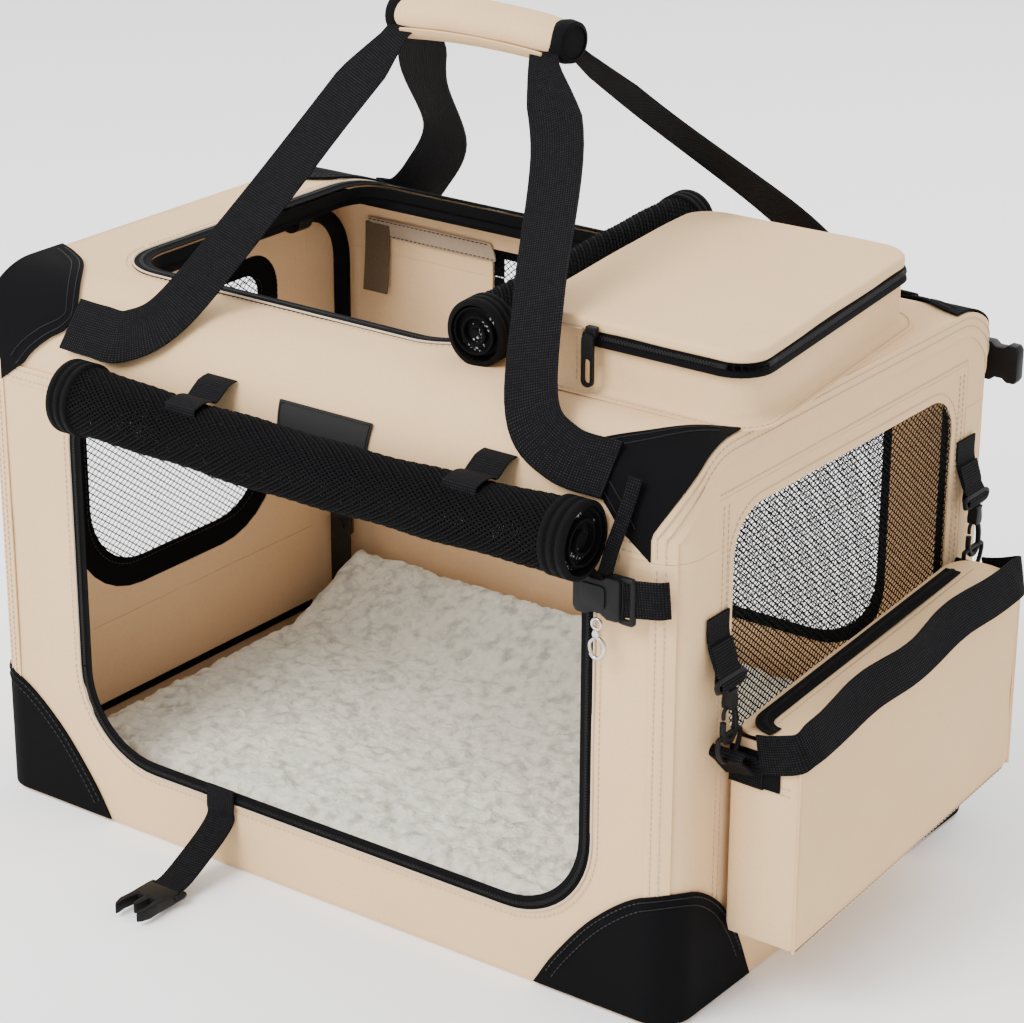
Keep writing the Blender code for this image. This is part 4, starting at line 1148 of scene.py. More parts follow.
def make_grip():
    """A padded sleeve round the two pairs of straps, with bound ends and a closing flap."""
    low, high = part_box("grip_sleeve")
    middle = (low + high) / 2
    radius = (high[2] - low[2]) / 2
    half = (high[0] - low[0]) / 2 - 0.003
    rings, sides = 44, 36
    verts, uvs = [], []
    for i in range(rings + 1):
        t = 2 * i / rings - 1
        end = (1 - abs(t) ** 9) ** 0.5 * 0.35 + 0.65
        bow = 0.004 * (1 - t * t)
        for k in range(sides):
            a = 2 * math.pi * k / sides
            fold = 1 + 0.05 * math.cos(2 * a + 0.6) + 0.03 * noise.noise(Vector((t * 3.2, math.cos(a), math.sin(a))))
            r = radius * end * fold * (1 + 0.06 * (1 - t * t))
            verts.append((middle[0] + t * half, middle[1] + r * 1.12 * math.cos(a),
                          middle[2] + r * 0.94 * math.sin(a) + bow - 0.001))
            uvs.append((t * half, a * radius))
    faces = [(i * sides + k, i * sides + (k + 1) % sides, (i + 1) * sides + (k + 1) % sides, (i + 1) * sides + k)
             for i in range(rings) for k in range(sides)]
    faces.append(tuple(range(sides))[::-1])
    faces.append(tuple(rings * sides + k for k in range(sides)))
    sleeve = finish_mesh("grip_padding", fixed_normals(mesh_from("grip_padding", verts, faces, uvs)), "fabric",
                         "grip", 60)
    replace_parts(sleeve, "grip_sleeve")
    for word, side in (("left", -1), ("right", 1)):
        x = middle[0] + side * (half - 0.003)
        ring = [(x, middle[1] + (radius * 0.84) * math.cos(a), middle[2] - 0.001 + radius * 0.74 * math.sin(a))
                for a in np.linspace(0, 2 * math.pi, 36, endpoint=False)]
        out = [(0, math.cos(a), math.sin(a)) for a in np.linspace(0, 2 * math.pi, 36, endpoint=False)]
        swept("grip_binding_" + word, ring, out, [(-0.0065, 0.0), (-0.0055, 0.0030), (0, 0.0040), (0.0055, 0.0030),
                                                  (0.0065, 0.0)], "binding", "grip", True)
        cap = [(y, z) for y, z in zip(radius * 0.86 * np.cos(np.linspace(0, 2 * math.pi, 24, endpoint=False)),
                                      radius * 0.76 * np.sin(np.linspace(0, 2 * math.pi, 24, endpoint=False)))]
        solid("grip_end_" + word, cap, (x + side * 0.0030, middle[1], middle[2] - 0.001), (0, 1, 0), (0, 0, 1),
              0.0050, 0.0014, "binding", "grip")
    flap_low, flap_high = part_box("grip_flap")
    verts, faces, uvs = [], [], []
    count = 20
    for layer, grow in ((0, 0.0030), (1, 0.0014)):
        for i in range(count + 1):
            a = math.radians(205 + 130 * i / count)
            for x in np.linspace(flap_low[0], flap_high[0], 13):
                r = radius * 1.035 + grow
                bow = 0.004 * (1 - ((x - middle[0]) / half) ** 2)
                verts.append((x, middle[1] + r * 1.11 * math.cos(a), middle[2] + r * 0.95 * math.sin(a) + bow - 0.001))
                uvs.append((x, a * radius))
    n = 13
    layer_size = (count + 1) * n
    for i in range(count):
        for k in range(n - 1):
            a, b, c, d = i * n + k, i * n + k + 1, (i + 1) * n + k + 1, (i + 1) * n + k
            faces += [(a, b, c, d), (layer_size + d, layer_size + c, layer_size + b, layer_size + a)]
    rim = ([k for k in range(n)] + [i * n + n - 1 for i in range(1, count + 1)]
           + [count * n + k for k in range(n - 2, -1, -1)] + [i * n for i in range(count - 1, 0, -1)])
    for a, b in zip(rim, rim[1:] + rim[:1]):
        faces.append((a, layer_size + a, layer_size + b, b))
    flap = finish_mesh("grip_closing_flap", fixed_normals(mesh_from("grip_flap", verts, faces, uvs)), "fabric",
                       "grip_flap", 60)
    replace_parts(flap, "grip_flap")


# ---- rolled doors ----------------------------------------------------------------------------
def make_roll(name, node, axis, centre, radius, length, skew, body, droop=0.0, thin=0.0):
    """A rolled-up net door: layers of net round a dark core, bound with ribbed tape at both ends."""
    turn = Matrix.Rotation(skew, 3, "Z")
    along = turn @ Vector(axis)
    up = Vector((0, 0, 1))
    side = up.cross(along)
    centre = Vector(centre)
    half = length / 2

    def around(layer):
        def place(u, v):
            angle = v / layer
            puff = 1 + 0.035 * np.sin(u * 31 + layer * 900) * np.sin(angle * 2 + u * 9) + 0.02 * np.sin(u * 77)
            normal = np.cos(angle)[..., None] * np.array(side) + np.sin(angle)[..., None] * np.array(up)
            belly = 1 - (u / half) ** 2
            point = np.array(centre) + u[..., None] * np.array(along)
            point += normal * (layer * puff * (1 - thin * belly))[..., None]
            point[..., 2] -= droop * belly
            return point, normal
        return place
    core_r = radius * 0.80
    core = cylinder_sheet(name + "_core", half - 0.004, core_r, around(core_r), "roll", body)
    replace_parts(core, node)
    for i, share in enumerate((0.89, 0.975)):
        layer = radius * share
        net("%s_net_%d" % (name, i), lambda u, v: np.abs(u) < half, (-half, half),
            (0, 2 * math.pi * layer), around(layer), body, cell=(0.0046, 0.0034), strand=0.00062)
    tape = 0.020
    for word, end in (("a", -1), ("b", 1)):
        profile = []
        ribs = 3
        for r in range(ribs):
            start = -tape / 2 + tape * r / ribs
            wide = tape / ribs
            profile += [(start + wide * 0.06, 0.0), (start + wide * 0.25, 0.0016), (start + wide * 0.75, 0.0016),
                        (start + wide * 0.94, 0.0)]
        profile = [(-tape / 2, -0.0022)] + profile + [(tape / 2, -0.0022)]
        angles = np.linspace(0, 2 * math.pi, 48, endpoint=False)
        u = np.full_like(angles, end * (half - tape * 0.42))
        point, normal = around(radius)(u, angles * radius)
        swept("%s_tape_%s" % (name, word), point, normal, profile, "tape", body, True, 70)
        spiral = np.linspace(0.6, 5.5 * math.pi, 150)
        reach = radius * (0.16 + 0.84 * spiral / spiral[-1])
        normal = (np.cos(spiral)[:, None] * np.array(side) + np.sin(spiral)[:, None] * np.array(up))
        point = np.array(centre) + np.array(along) * end * (half - 0.0065) + normal * reach[:, None]
        swept("%s_coil_%s" % (name, word), point, normal, [(-0.0070, -0.0007), (0.0070, -0.0007), (0.0075, 0.0),
                                                           (0.0070, 0.0007), (-0.0070, 0.0007)], "binding", body,
              False, 50)


def cylinder_sheet(name, half, radius, place, finish, body):
    rings, sides = 60, 40
    u, a = np.meshgrid(np.linspace(-half, half, rings), np.linspace(0, 2 * math.pi, sides, endpoint=False),
                       indexing="ij")
    point, _ = place(u.ravel(), a.ravel() * radius)
    faces = [(i * sides + k, i * sides + (k + 1) % sides, (i + 1) * sides + (k + 1) % sides, (i + 1) * sides + k)
             for i in range(rings - 1) for k in range(sides)]
    faces += [tuple(range(sides))[::-1], tuple((rings - 1) * sides + k for k in range(sides))]
    uvs = np.stack([u.ravel(), a.ravel() * radius], -1)
    return finish_mesh(name, fixed_normals(mesh_from(name, point, faces, uvs)), finish, body, 60)


def make_rolls():
    low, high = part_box("front_door_roll")
    centre, radius = (low + high) / 2, (high[2] - low[2]) / 2
    make_roll("front_roll", "front_door_roll", (1, 0, 0), centre, radius, high[0] - low[0], 0, "top", 0.0050, 0.09)
    for word, x in (("left", -0.075), ("right", 0.158)):
        belly = 1 - ((x - centre[0]) / (high[0] - low[0]) * 2) ** 2
        ring, mid_z = radius * (1 - 0.09 * belly), centre[2] - 0.0050 * belly
        path = [(x, HALF_WIDTH * -1 + 0.006, 0.3705), (x, -0.2035, 0.3690)]
        path += [(x, centre[1] + (ring + 0.0022) * math.cos(a), mid_z + (ring + 0.0022) * math.sin(a))
                 for a in np.radians(np.linspace(62, 116, 9))]
        path.append((x, centre[1] + ring * 0.86 * math.cos(2.2), mid_z + ring * 0.86 * math.sin(2.2)))
        count = len(path)
        strap("roll_tab_" + word, path, [(1, 0, 0)] * count, 0.027, "top", 0.0010, steps=2)
    low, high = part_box("top_door_roll")
    centre, radius = (low + high) / 2, (high[2] - low[2]) / 2
    make_roll("roof_roll", "top_door_roll", (0, 1, 0), centre, radius, high[1] - low[1], math.radians(6), "top")


# ---- label -----------------------------------------------------------------------------------
def make_label():
    """A plain sewn label above the front roll."""
    region = outline((-0.023, -0.2290), (0.058, -0.2085), [0.0012] * 4, 3)
    cloth_panel("front_label", region, roof_place, "label", "top", 0.004, 0.0012, grow=0.0014, wrinkle=0)
    edge, normal = on_surface(grow_outline(region, -0.0015), roof_place, 0.0015, closed=True)
    stitch(edge, normal, "top", "dark_thread", 0.0026, 0.0018, closed=True)


# ---- fleece pad ------------------------------------------------------------------------------
PAD_RIDE_FROM = 0.085      # the pad's back part climbs the wall from this y
PAD_RIDE_BACK = 0.0165
PAD_RIDE_UP = 0.036


def make_pad():
    """A sherpa pad: short curls on a soft board, its back edge riding up the back wall."""
    low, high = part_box("fleece_pad")
    half_x, half_y = high[0], high[1]
    step = 0.0030
    nx, ny = round(2 * half_x / step), round(2 * half_y / step)
    form = bmesh.new()
    xs, ys = np.linspace(-1, 1, nx + 1), np.linspace(-1, 1, ny + 1)
    rows, lifts = [], {}
    for b in ys:
        row = []
        for a in xs:
            corner = max(0.0, math.hypot(max(abs(a) * half_x - (half_x - 0.03), 0),
                                         max(abs(b) * half_y - (half_y - 0.03), 0)) - 0.03)
            x, y = a * half_x, b * half_y
            if corner > 0:
                cx, cy = math.copysign(half_x - 0.03, x), math.copysign(half_y - 0.03, y)
                way = Vector((x - cx, y - cy))
                way = way.normalized() * 0.03
                x, y = cx + way.x, cy + way.y
            edge = min(half_x - abs(x), half_y - abs(y))
            rim = min(1.0, max(0.0, edge) / 0.016)
            height = low[2] + 0.012 + (high[2] - low[2] - 0.013) * math.sqrt(max(0.0, 1 - (1 - rim) ** 2))
            place = Vector((x, y, 0))
            curls = noise.noise(place * 95) * 0.55 + noise.noise(place * 210 + Vector((7, 3, 1))) * 0.45
            ridges = abs(noise.noise(place * 62 + Vector((2, 9, 4))))
            waves = noise.noise(place * 11)
            height += curls * 0.0034 - (0.22 - ridges) * 0.0120 * (ridges < 0.22) + waves * 0.0022
            ride = max(0.0, (y - PAD_RIDE_FROM) / (half_y - PAD_RIDE_FROM))
            ride = ride * ride * (3 - 2 * ride) * (1 + 0.06 * noise.noise(place * 15))
            row.append(form.verts.new((x * 0.997, y * 0.997 + PAD_RIDE_BACK * ride, height + PAD_RIDE_UP * ride)))
            lifts[row[-1]] = PAD_RIDE_UP * ride
        rows.append(row)
    for r, s in zip(rows, rows[1:]):
        for i in range(nx):
            form.faces.new((r[i], r[i + 1], s[i + 1], s[i]))
    ring = rows[0] + [r[-1] for r in rows[1:-1]] + rows[-1][::-1] + [r[0] for r in rows[-2:0:-1]]
    base = [form.verts.new((v.co.x, v.co.y, low[2] + 0.0004 + lifts[v])) for v in ring]
    for i in range(len(ring)):
        j = (i + 1) % len(ring)
        form.faces.new((ring[j], ring[i], base[i], base[j]))
    form.faces.new(base[::-1])
    bmesh.ops.remove_doubles(form, verts=form.verts, dist=0.00005)
    bmesh.ops.recalc_face_normals(form, faces=form.faces)
    mesh = bpy.data.meshes.new("fleece_pad_top")
    form.to_mesh(mesh)
    form.free()
    mesh.uv_layers.new(name="cloth")
    pad = finish_mesh("sherpa_pad", mesh, "fleece", "root", 80)
    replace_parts(pad, "fleece_pad")
    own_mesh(pad)


# ---- roof pocket -----------------------------------------------------------------------------
def loft(name, rings, finish, body, sharp=45.0, close=True):
    """Join closed rings of equal length, in order, and cap both ends."""
    count = len(rings[0])
    verts = np.concatenate([np.asarray(r, float) for r in rings])
    faces, uvs = [], []
    travelled = 0.0
    for i, ring in enumerate(rings):
        ring = np.asarray(ring, float)
        if i:
            travelled += float(np.linalg.norm(ring - np.asarray(rings[i - 1], float), axis=1).mean())
        seg = np.concatenate([[0], np.cumsum(np.linalg.norm(np.diff(ring, axis=0), axis=1))])
        uvs.append(np.stack([seg, np.full(count, travelled)], -1))
        if i < len(rings) - 1:
            for k in range(count):
                j = (k + 1) % count
                faces.append((i * count + k, i * count + j, (i + 1) * count + j, (i + 1) * count + k))
    if close:
        faces.append(tuple(range(count))[::-1])
        faces.append(tuple((len(rings) - 1) * count + k for k in range(count)))
    mesh = fixed_normals(mesh_from(name, verts, faces, np.concatenate(uvs)))
    return finish_mesh(name, mesh, finish, body, sharp)


POCKET_SKEW = -0.12       # the pocket sits a little askew on the roof


def skewed(points, z):
    """Pocket outline points, leaned over with the cloth that they are sewn to."""
    middle = (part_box("pocket_body")[0][1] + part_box("pocket_body")[1][1]) / 2
    p = np.array(points, float)
    return np.stack([p[:, 0] + POCKET_SKEW * (p[:, 1] - middle), p[:, 1], np.broadcast_to(z, len(p))], -1)


def soft_slab(name, region, cell, thick, soften):
    """A slab with its rim rounded over."""
    mesh = flat_slab(name, region, (), cell, thick)
    form = bmesh.new()
    form.from_mesh(mesh)
    rim = [e for e in form.edges if e.is_manifold and e.calc_face_angle() > math.radians(60)]
    bmesh.ops.bevel(form, geom=rim, offset=soften, segments=3, affect="EDGES", profile=0.6, clamp_overlap=True)
    form.to_mesh(mesh)
    form.free()
    return mesh


def make_pocket():
    low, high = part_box("pocket_body")
    rim_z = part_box("pocket_lid")[0][2] - 0.0003
    top_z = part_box("pocket_lid")[1][2]
    hinge_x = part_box("pocket_lid")[0][0]
    wall = divided(outline(low, high, [0.022] * 4, 8), 0.006)
    rings = []
    for share, grow in ((0.0, 0.0055), (0.04, 0.0035), (0.12, 0.0015), (0.35, 0.0010), (0.6, 0.0008),
                        (0.85, 0.0003), (1.0, 0.0)):
        z = HEIGHT + 0.0006 + (rim_z - HEIGHT - 0.0006) * share
        ring = skewed(grow_outline(wall, grow), z)
        sag = lump(ring, 16.0, 21) * 0.0016 * math.sin(math.pi * share)
        ring[:, :2] += (ring[:, :2] - ring[:, :2].mean(0)) / 0.1 * sag[:, None]
        rings.append(ring)
    for share in (1.0, 0.6, 0.2, 0.05):
        z = HEIGHT + 0.0030 + (rim_z - HEIGHT - 0.0030) * share
        rings.append(skewed(grow_outline(wall, -0.0028), z))
    body = loft("pocket_walls", rings, "fabric", "top")
    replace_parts(body, "pocket_body", "pocket_lid")
    lid_region = grow_outline(wall, 0.0030)
    lid = soft_slab("pocket_top", lid_region, 0.006, top_z - rim_z - 0.0006, 0.0030)
    middle = (low[1] + high[1]) / 2

    def lid_place(u, v):
        up = np.zeros(u.shape + (3,))
        up[:, 2] = 1
        rise = 0.0022 * (1 - ((u - (low[0] + high[0]) / 2) / 0.1) ** 2) * (1 - ((v - middle) / 0.14) ** 2)
        return np.stack([u + POCKET_SKEW * (v - middle), v, top_z + rise - 0.0004], -1), up
    place_slab(lid, lid_place, 0.0, 0.0022, 22)
    lid = bpy.data.objects.new("pocket_top", lid)
    bpy.context.scene.collection.objects.link(lid)
    lid.data.materials.append(MAT["fabric"])
    lid.data.shade_smooth()
    lid.data.set_sharp_from_angle(angle=math.radians(50))
    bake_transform(lid)
    ring = np.array(wall)
    zip_x = hinge_x - 0.016
    start = int(np.argmin(np.hypot(ring[:, 0] - zip_x, ring[:, 1] - low[1])))
    order = np.roll(np.arange(len(ring)), -start)
    kept = [i for i in order if ring[i, 0] >= zip_x - 0.0005]
    path = skewed(np.array(grow_outline(wall, 0.0014))[kept], rim_z - 0.0030)
    along = np.gradient(path, axis=0)
    out = np.cross(along, (0, 0, 1))
    out /= np.linalg.norm(out, axis=1)[:, None]
    out[:, 2] = 0.35
    zip_line("pocket_zip", path, out, "top", width=0.0125, lift=0.0012)
    foot = skewed(grow_outline(wall, 0.0085), HEIGHT + 0.0008)
    up = np.tile((0, 0, 1.0), (len(foot), 1))
    stitch(foot, up, "top", closed=True)
    flange_low = skewed(grow_outline(wall, 0.0040), HEIGHT + 0.0009)
    flange_out = skewed(grow_outline(wall, 0.0115), HEIGHT + 0.0004)
    loft("pocket_flange", [flange_low, flange_out, flange_out - (0, 0, 0.0008), flange_low - (0, 0, 0.0012)],
         "fabric", "top", close=False)
    for shift in (-0.0022, -0.0062):
        x = zip_x + shift
        column = [(x + POCKET_SKEW * (low[1] - middle), low[1] - 0.0016, z) for z in np.linspace(HEIGHT + 0.005, rim_z - 0.002, 14)]
        stitch(column, np.tile((0, -1.0, 0), (14, 1)), "top")
    hem = [(x + POCKET_SKEW * (low[1] - middle), low[1] - 0.0034, rim_z + 0.0006) for x in np.linspace(low[0] + 0.02, zip_x - 0.001, 20)]
    swept("pocket_left_seam", hem, np.tile((0, -1.0, 0), (20, 1)), round_profile(0.0007, 6), "thread", "top")


# ---- side pouch ------------------------------------------------------------------------------
POUCH_LIFT = 0.075        # how much higher the pouch hangs towards the back, per metre
POUCH_LOW, POUCH_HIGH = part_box("pouch_body")
POUCH_MIDDLE_X = (POUCH_LOW[0] + POUCH_HIGH[0]) / 2
RING_SPAN = 0.288         # from the front D ring to the back one
BUCKLE_WEBBING = 0.0250
FACING_X, FACING_Y, FACING_Z = (1.0, 0, 0), (0, 1.0, 0), (0, 0, 1.0)


def lifted(points):
    """Pouch points, raised towards the back as it hangs."""
    p = np.array(points, float)
    p[:, 2] += (p[:, 1] - POUCH_LOW[1]) * POUCH_LIFT
    return p


def pouch_ring(z, grow, bulge=0.0):
    """The pouch's plan at one height, its front face bulging a little."""
    corners = [0.003, 0.0018, 0.0018, 0.003]
    flat = np.array(grow_outline(divided(outline(POUCH_LOW, POUCH_HIGH, corners, 5), 0.007), grow))
    across = (flat[:, 1] - POUCH_LOW[1]) / (POUCH_HIGH[1] - POUCH_LOW[1])
    front = np.clip((flat[:, 0] - POUCH_MIDDLE_X) / (POUCH_HIGH[0] - POUCH_LOW[0]) * 2, 0, 1)
    flat[:, 0] += bulge * np.sin(np.clip(across, 0, 1) * math.pi) * front
    return lifted([(x, y, z) for x, y in flat])


def make_pouch():
    """The pouch's cloth box, up its outside and down its inside, with its seams."""
    low, high = POUCH_LOW, POUCH_HIGH
    rings = []
    for share, grow, bulge in ((0.0, -0.006, 0.0), (0.012, -0.0015, 0.0005), (0.06, 0.0, 0.0015),
                               (0.2, 0.0, 0.0035), (0.4, 0.0, 0.0045), (0.6, 0.0, 0.0035), (0.8, 0.0, 0.0015),
                               (0.93, 0.0, 0.0), (1.0, 0.0, 0.0), (1.0, -0.0018, 0.0), (0.6, -0.0018, 0.003),
                               (0.04, -0.003, 0.0)):
        ring = pouch_ring(low[2] + (high[2] - low[2]) * share, grow, bulge)
        dent = lump(ring, 13.0, 31) * 0.0022 * math.sin(math.pi * share)
        ring[:, 0] += dent * (ring[:, 0] > POUCH_MIDDLE_X)
        rings.append(ring)
    body = loft("pouch_cloth", rings, "fabric", "pouch")
    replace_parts(body, "pouch_body")
    x = high[0] - 0.0006
    seam = [(-0.0009, -0.0012), (0.0009, -0.0012), (0.0007, 0.0010), (-0.0007, 0.0010)]
    for word, y, turn in (("front", low[1], -1), ("back", high[1], 1)):
        edge = lifted([(x, y + turn * 0.0006, z) for z in np.linspace(low[2] + 0.002, high[2] - 0.001, 40)])
        swept("pouch_seam_" + word, edge, facing((0.7, turn * 0.7, 0), edge), seam, "fabric", "pouch")
        for drop in (0.026, 0.031):
            row = lifted([(u, y + turn * 0.0003, high[2] - drop)
                          for u in np.linspace(low[0] + 0.004, high[0] - 0.004, 14)])
            stitch(row, facing((0, turn, 0), row), "pouch")
    base = lifted([(high[0] + 0.0012, y, low[2] + 0.004)
                   for y in np.linspace(low[1] + 0.008, high[1] - 0.008, 60)])
    stitch(base, facing(FACING_X, base), "pouch")
    make_pouch_lid()
    make_pouch_strap()


def make_pouch_lid():
    """The pouch's zipped top."""
    low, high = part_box("pouch_flap")
    region = outline((low[0] + 0.001, low[1] + 0.001), (high[0], high[1] - 0.001), [0.016, 0.006, 0.006, 0.016])
    lid = flat_slab("pouch_lid", region, (), 0.008, 0.0022)

    def lid_place(u, v):
        base = (v - POUCH_LOW[1]) * POUCH_LIFT
        crown = 0.0030 * np.sin((u - low[0]) / (high[0] - low[0]) * math.pi)
        return np.stack([u, v, high[2] + base + crown + 0.0006], -1), facing(FACING_Z, u)
    place_slab(lid, lid_place, 0.0, 0.0016, 33)
    made = finish_mesh("pouch_lid", lid, "fabric", "pouch_flap")
    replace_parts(made, "pouch_flap")
    zip_x, inset = low[0] + 0.0135, 0.024
    corner = [(zip_x + 0.016 * (1 - math.cos(t)), low[1] + inset - 0.018 * math.sin(t))
              for t in np.linspace(math.pi / 2, 0, 8)]
    flat = np.array(corner + [(zip_x, y) for y in np.linspace(low[1] + inset, high[1] - inset, 60)[1:]])
    point, normal = lid_place(flat[:, 0], flat[:, 1])
    zip_line("pouch_zip", point + normal * 0.0004, normal, "pouch_flap", width=0.0120, lift=0.0010)
    for x in (low[0] + 0.0235, high[0] - 0.006):
        flat = np.array([(x, y) for y in np.linspace(low[1] + 0.01, high[1] - 0.01, 60)])
        point, normal = lid_place(flat[:, 0], flat[:, 1])
        stitch(point, normal, "pouch_flap")


def make_pouch_strap():
    """The pouch's own carrying strap: from the front gusset round the corner, along the top edge."""
    front_x, half_y, top = POUCH_HIGH[0], POUCH_HIGH[1], POUCH_HIGH[2]
    places, across = [], []
    for t in np.linspace(0, 1, 15):
        y = POUCH_LOW[1] + 0.010 + (half_y - POUCH_LOW[1] - 0.020) * t
        wave = math.sin(math.pi * t) * (0.5 + 0.5 * math.sin(t * 12.5 - 1.2))
        places.append((front_x + 0.0020 - 0.0035 * wave, y, top + 0.0060 + 0.0040 * wave))
        across.append((-0.42 - 0.35 * wave, 0.0, 1.0))
    lean = [(-0.1, 0, 1), (0, 0, 1), (0, 0, 1)]
    for turn in (-1, 1):
        wrap = offsets((front_x, turn * half_y, top), [(-1, 2.2, 3), (-18, 3.4, -3), (-30, 3.4, -5.5)], turn)
        places = places + wrap if turn > 0 else wrap[::-1] + places
        across = across + lean if turn > 0 else lean[::-1] + across
    places = [tuple(p) for p in lifted(places)]
    made = strap("pouch_carry_strap", places, across, 0.027, "pouch", 0.0020, steps=6)
    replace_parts(made, "pouch_strap")


def make_hooks():
    """D rings on the pouch's gussets, and the swivel hooks and webbing that carry them."""
    rod = {"finish": "plastic", "slot": "plastic", "normal": FACING_X}
    for word, side in (("front", -1), ("back", 1)):
        ring_low, ring_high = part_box("pouch_ring_" + word)
        x, y, z = (ring_low + ring_high) / 2
        z += 0.0 if side < 0 else RING_SPAN * POUCH_LIFT
        d_shape = offsets((x, y, z), [(0, -12.5, 7.5), (0, 0, 8.5), (0, 12.5, 7.5), (0, 12, -1), (0, 7, -8.5),
                                      (0, 0, -10.5), (0, -7, -8.5), (0, -12, -1)])
        ring = ring_piece("pouch_d_ring_" + word, d_shape, 0.0017, body="pouch", **rod)
        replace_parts(ring, "pouch_ring_" + word)
        gusset = (x, side * (POUCH_HIGH[1] + 0.0016), z)
        tab = offsets(gusset, [(6, 0, -31), (6, 0.4, -18), (2, 4, -10.5), (0, 9, -6.5), (0, 12.5, -3.5),
                               (0, 16, -7.5), (1, 10, -14), (4, 4, -22)], side)
        strap("ring_tab_" + word, tab, [FACING_X] * len(tab), 0.026, "pouch", 0.0018, steps=5)
        solid("ring_patch_" + word, box_outline(0.019, 0.0125), offsets(gusset, [(12, -0.6, -18)], side)[0],
              FACING_X, FACING_Z, 0.0016, 0.0005, "webbing", "pouch")
        hook_foot = (x, y, z + 0.0085)
        hook = offsets(hook_foot, [(0, -7, 10), (0, -7.2, 2), (0, -3.5, -4.5), (0, 2.5, -5), (0, 7, 0.5),
                                   (0, 7, 10), (0, 4.5, 17), (0, 0, 20)])
        claw = ring_piece("hook_claw_" + word, hook, 0.0021, body="right_end", closed=False, **rod)
        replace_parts(claw, "snap_hook_" + word)
        gate = offsets(hook_foot, [(0, -6.8, 12), (0, -6.6, 17), (0, -2, 20.5)])
        ring_piece("hook_gate_" + word, gate, 0.0014, body="right_end", closed=False, **rod)
        neck = [(-0.0040, 0.0), (0.0040, 0.0), (0.0046, 0.004), (0.0034, 0.011), (0.0050, 0.0135),
                (-0.0050, 0.0135), (-0.0034, 0.011), (-0.0046, 0.004)]
        solid("hook_neck_" + word, neck, offsets(hook_foot, [(0, 0, 18)])[0], FACING_Y, FACING_Z, 0.0080, 0.0016,
              "plastic", "right_end")
        head = (x, y, z + 0.0420)
        loop = offsets(head, [(0, -14.5, 0), (0, 0, -1.2), (0, 14.5, 0), (0, 15, 5.5), (0, 0, 6.2), (0, -15, 5.5)])
        ring_piece("hook_head_" + word, loop, 0.0018, body="right_end", **rod)
        sewn = offsets((HALF_LENGTH + 0.0016, y, head[2]), [(0, 0, 46), (0.4, 0, 30), (6, 0, 14)])
        through = offsets(head, [(2, 0, 3.5), (0, 0, -0.5), (-3.5, 0, 3.5), (-3.5, 0, 14)])
        back = offsets((HALF_LENGTH + 0.0016, y, head[2]), [(2.4, 0, 28)])
        hanger = strap("hanger_webbing_" + word, sewn + through + back, [FACING_Y] * 8, BUCKLE_WEBBING,
                       "right_end", 0.0018, steps=5)
        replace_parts(hanger, "pouch_hanger_" + word)


# ---- buckles and small hardware --------------------------------------------------------------
def frame_bar(name, origin, half, out, radius, body, step):
    """A straight-sided rod frame round a rectangle of four corners."""
    path = resample([np.array(origin) + corner for corner in half], step, True)
    return swept(name, path, facing(out, path), round_profile(radius), "plastic", body, True, 60)


def make_buckles():
    """The two buckle sockets on their webbing, and the two plugs on theirs."""
    for name, x_way in (("front_buckle_socket", -1), ("back_buckle_socket", 1)):
        low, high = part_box(name)
        centre = (low + high) / 2
        long, wide, deep = (high[0] - low[0]) / 2, (high[2] - low[2]) / 2, high[1] - low[1]
        half = [(long * a, wide * b) for a, b in ((1, 0.72), (0.86, 0.98), (0.45, 0.98), (0.2, 0.80), (-0.2, 0.80),
                                                  (-0.45, 1), (-0.92, 1), (-1, 0.86))]
        shell = [(a, -b) for a, b in half] + half[::-1]
        made = solid(name + "_shell", shell, centre, (x_way, 0, 0), FACING_Z, deep * 0.92, 0.0020, "plastic", "top")
        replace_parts(made, name)
        face = (centre[0], centre[1] + math.copysign(deep / 2, centre[1]), centre[2])
        panel = outline((-long * 0.42, -wide * 0.55), (long * 0.62, wide * 0.55), [0.003] * 4, 4)
        solid(name + "_panel", panel, face, (x_way, 0, 0), FACING_Z, 0.0016, 0.0005, "plastic", "top")
        corners = [(dx, 0, dz * wide * 0.98) for dx, dz in ((-0.0042, -1), (0.0042, -1), (0.0042, 1), (-0.0042, 1))]
        frame_bar(name + "_bar", (centre[0] - x_way * (long + 0.0030), centre[1], centre[2]), corners, FACING_Y,
                  0.0022, "top", 0.0015)
    front = [(0.2945, -0.2030, 0.3075), (0.2900, -0.2070, 0.3070), (0.280, -0.2095, 0.306),
             (0.2700, -0.2112, 0.3048), (0.2655, -0.2118, 0.3042)]
    made = strap("front_socket_strap", front, [FACING_Z] * 5, BUCKLE_WEBBING, "top", 0.0020)
    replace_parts(made, "front_socket_webbing")
    rear = [(0.262, 0.2035, 0.347), (0.268, 0.2065, 0.347), (0.275, 0.2105, 0.347), (0.2800, 0.2125, 0.347)]
    strap("back_socket_strap", rear, [FACING_Z] * 4, BUCKLE_WEBBING, "top", 0.0020)
    for word, side in (("front", -1), ("back", 1)):
        make_plug(word, side)


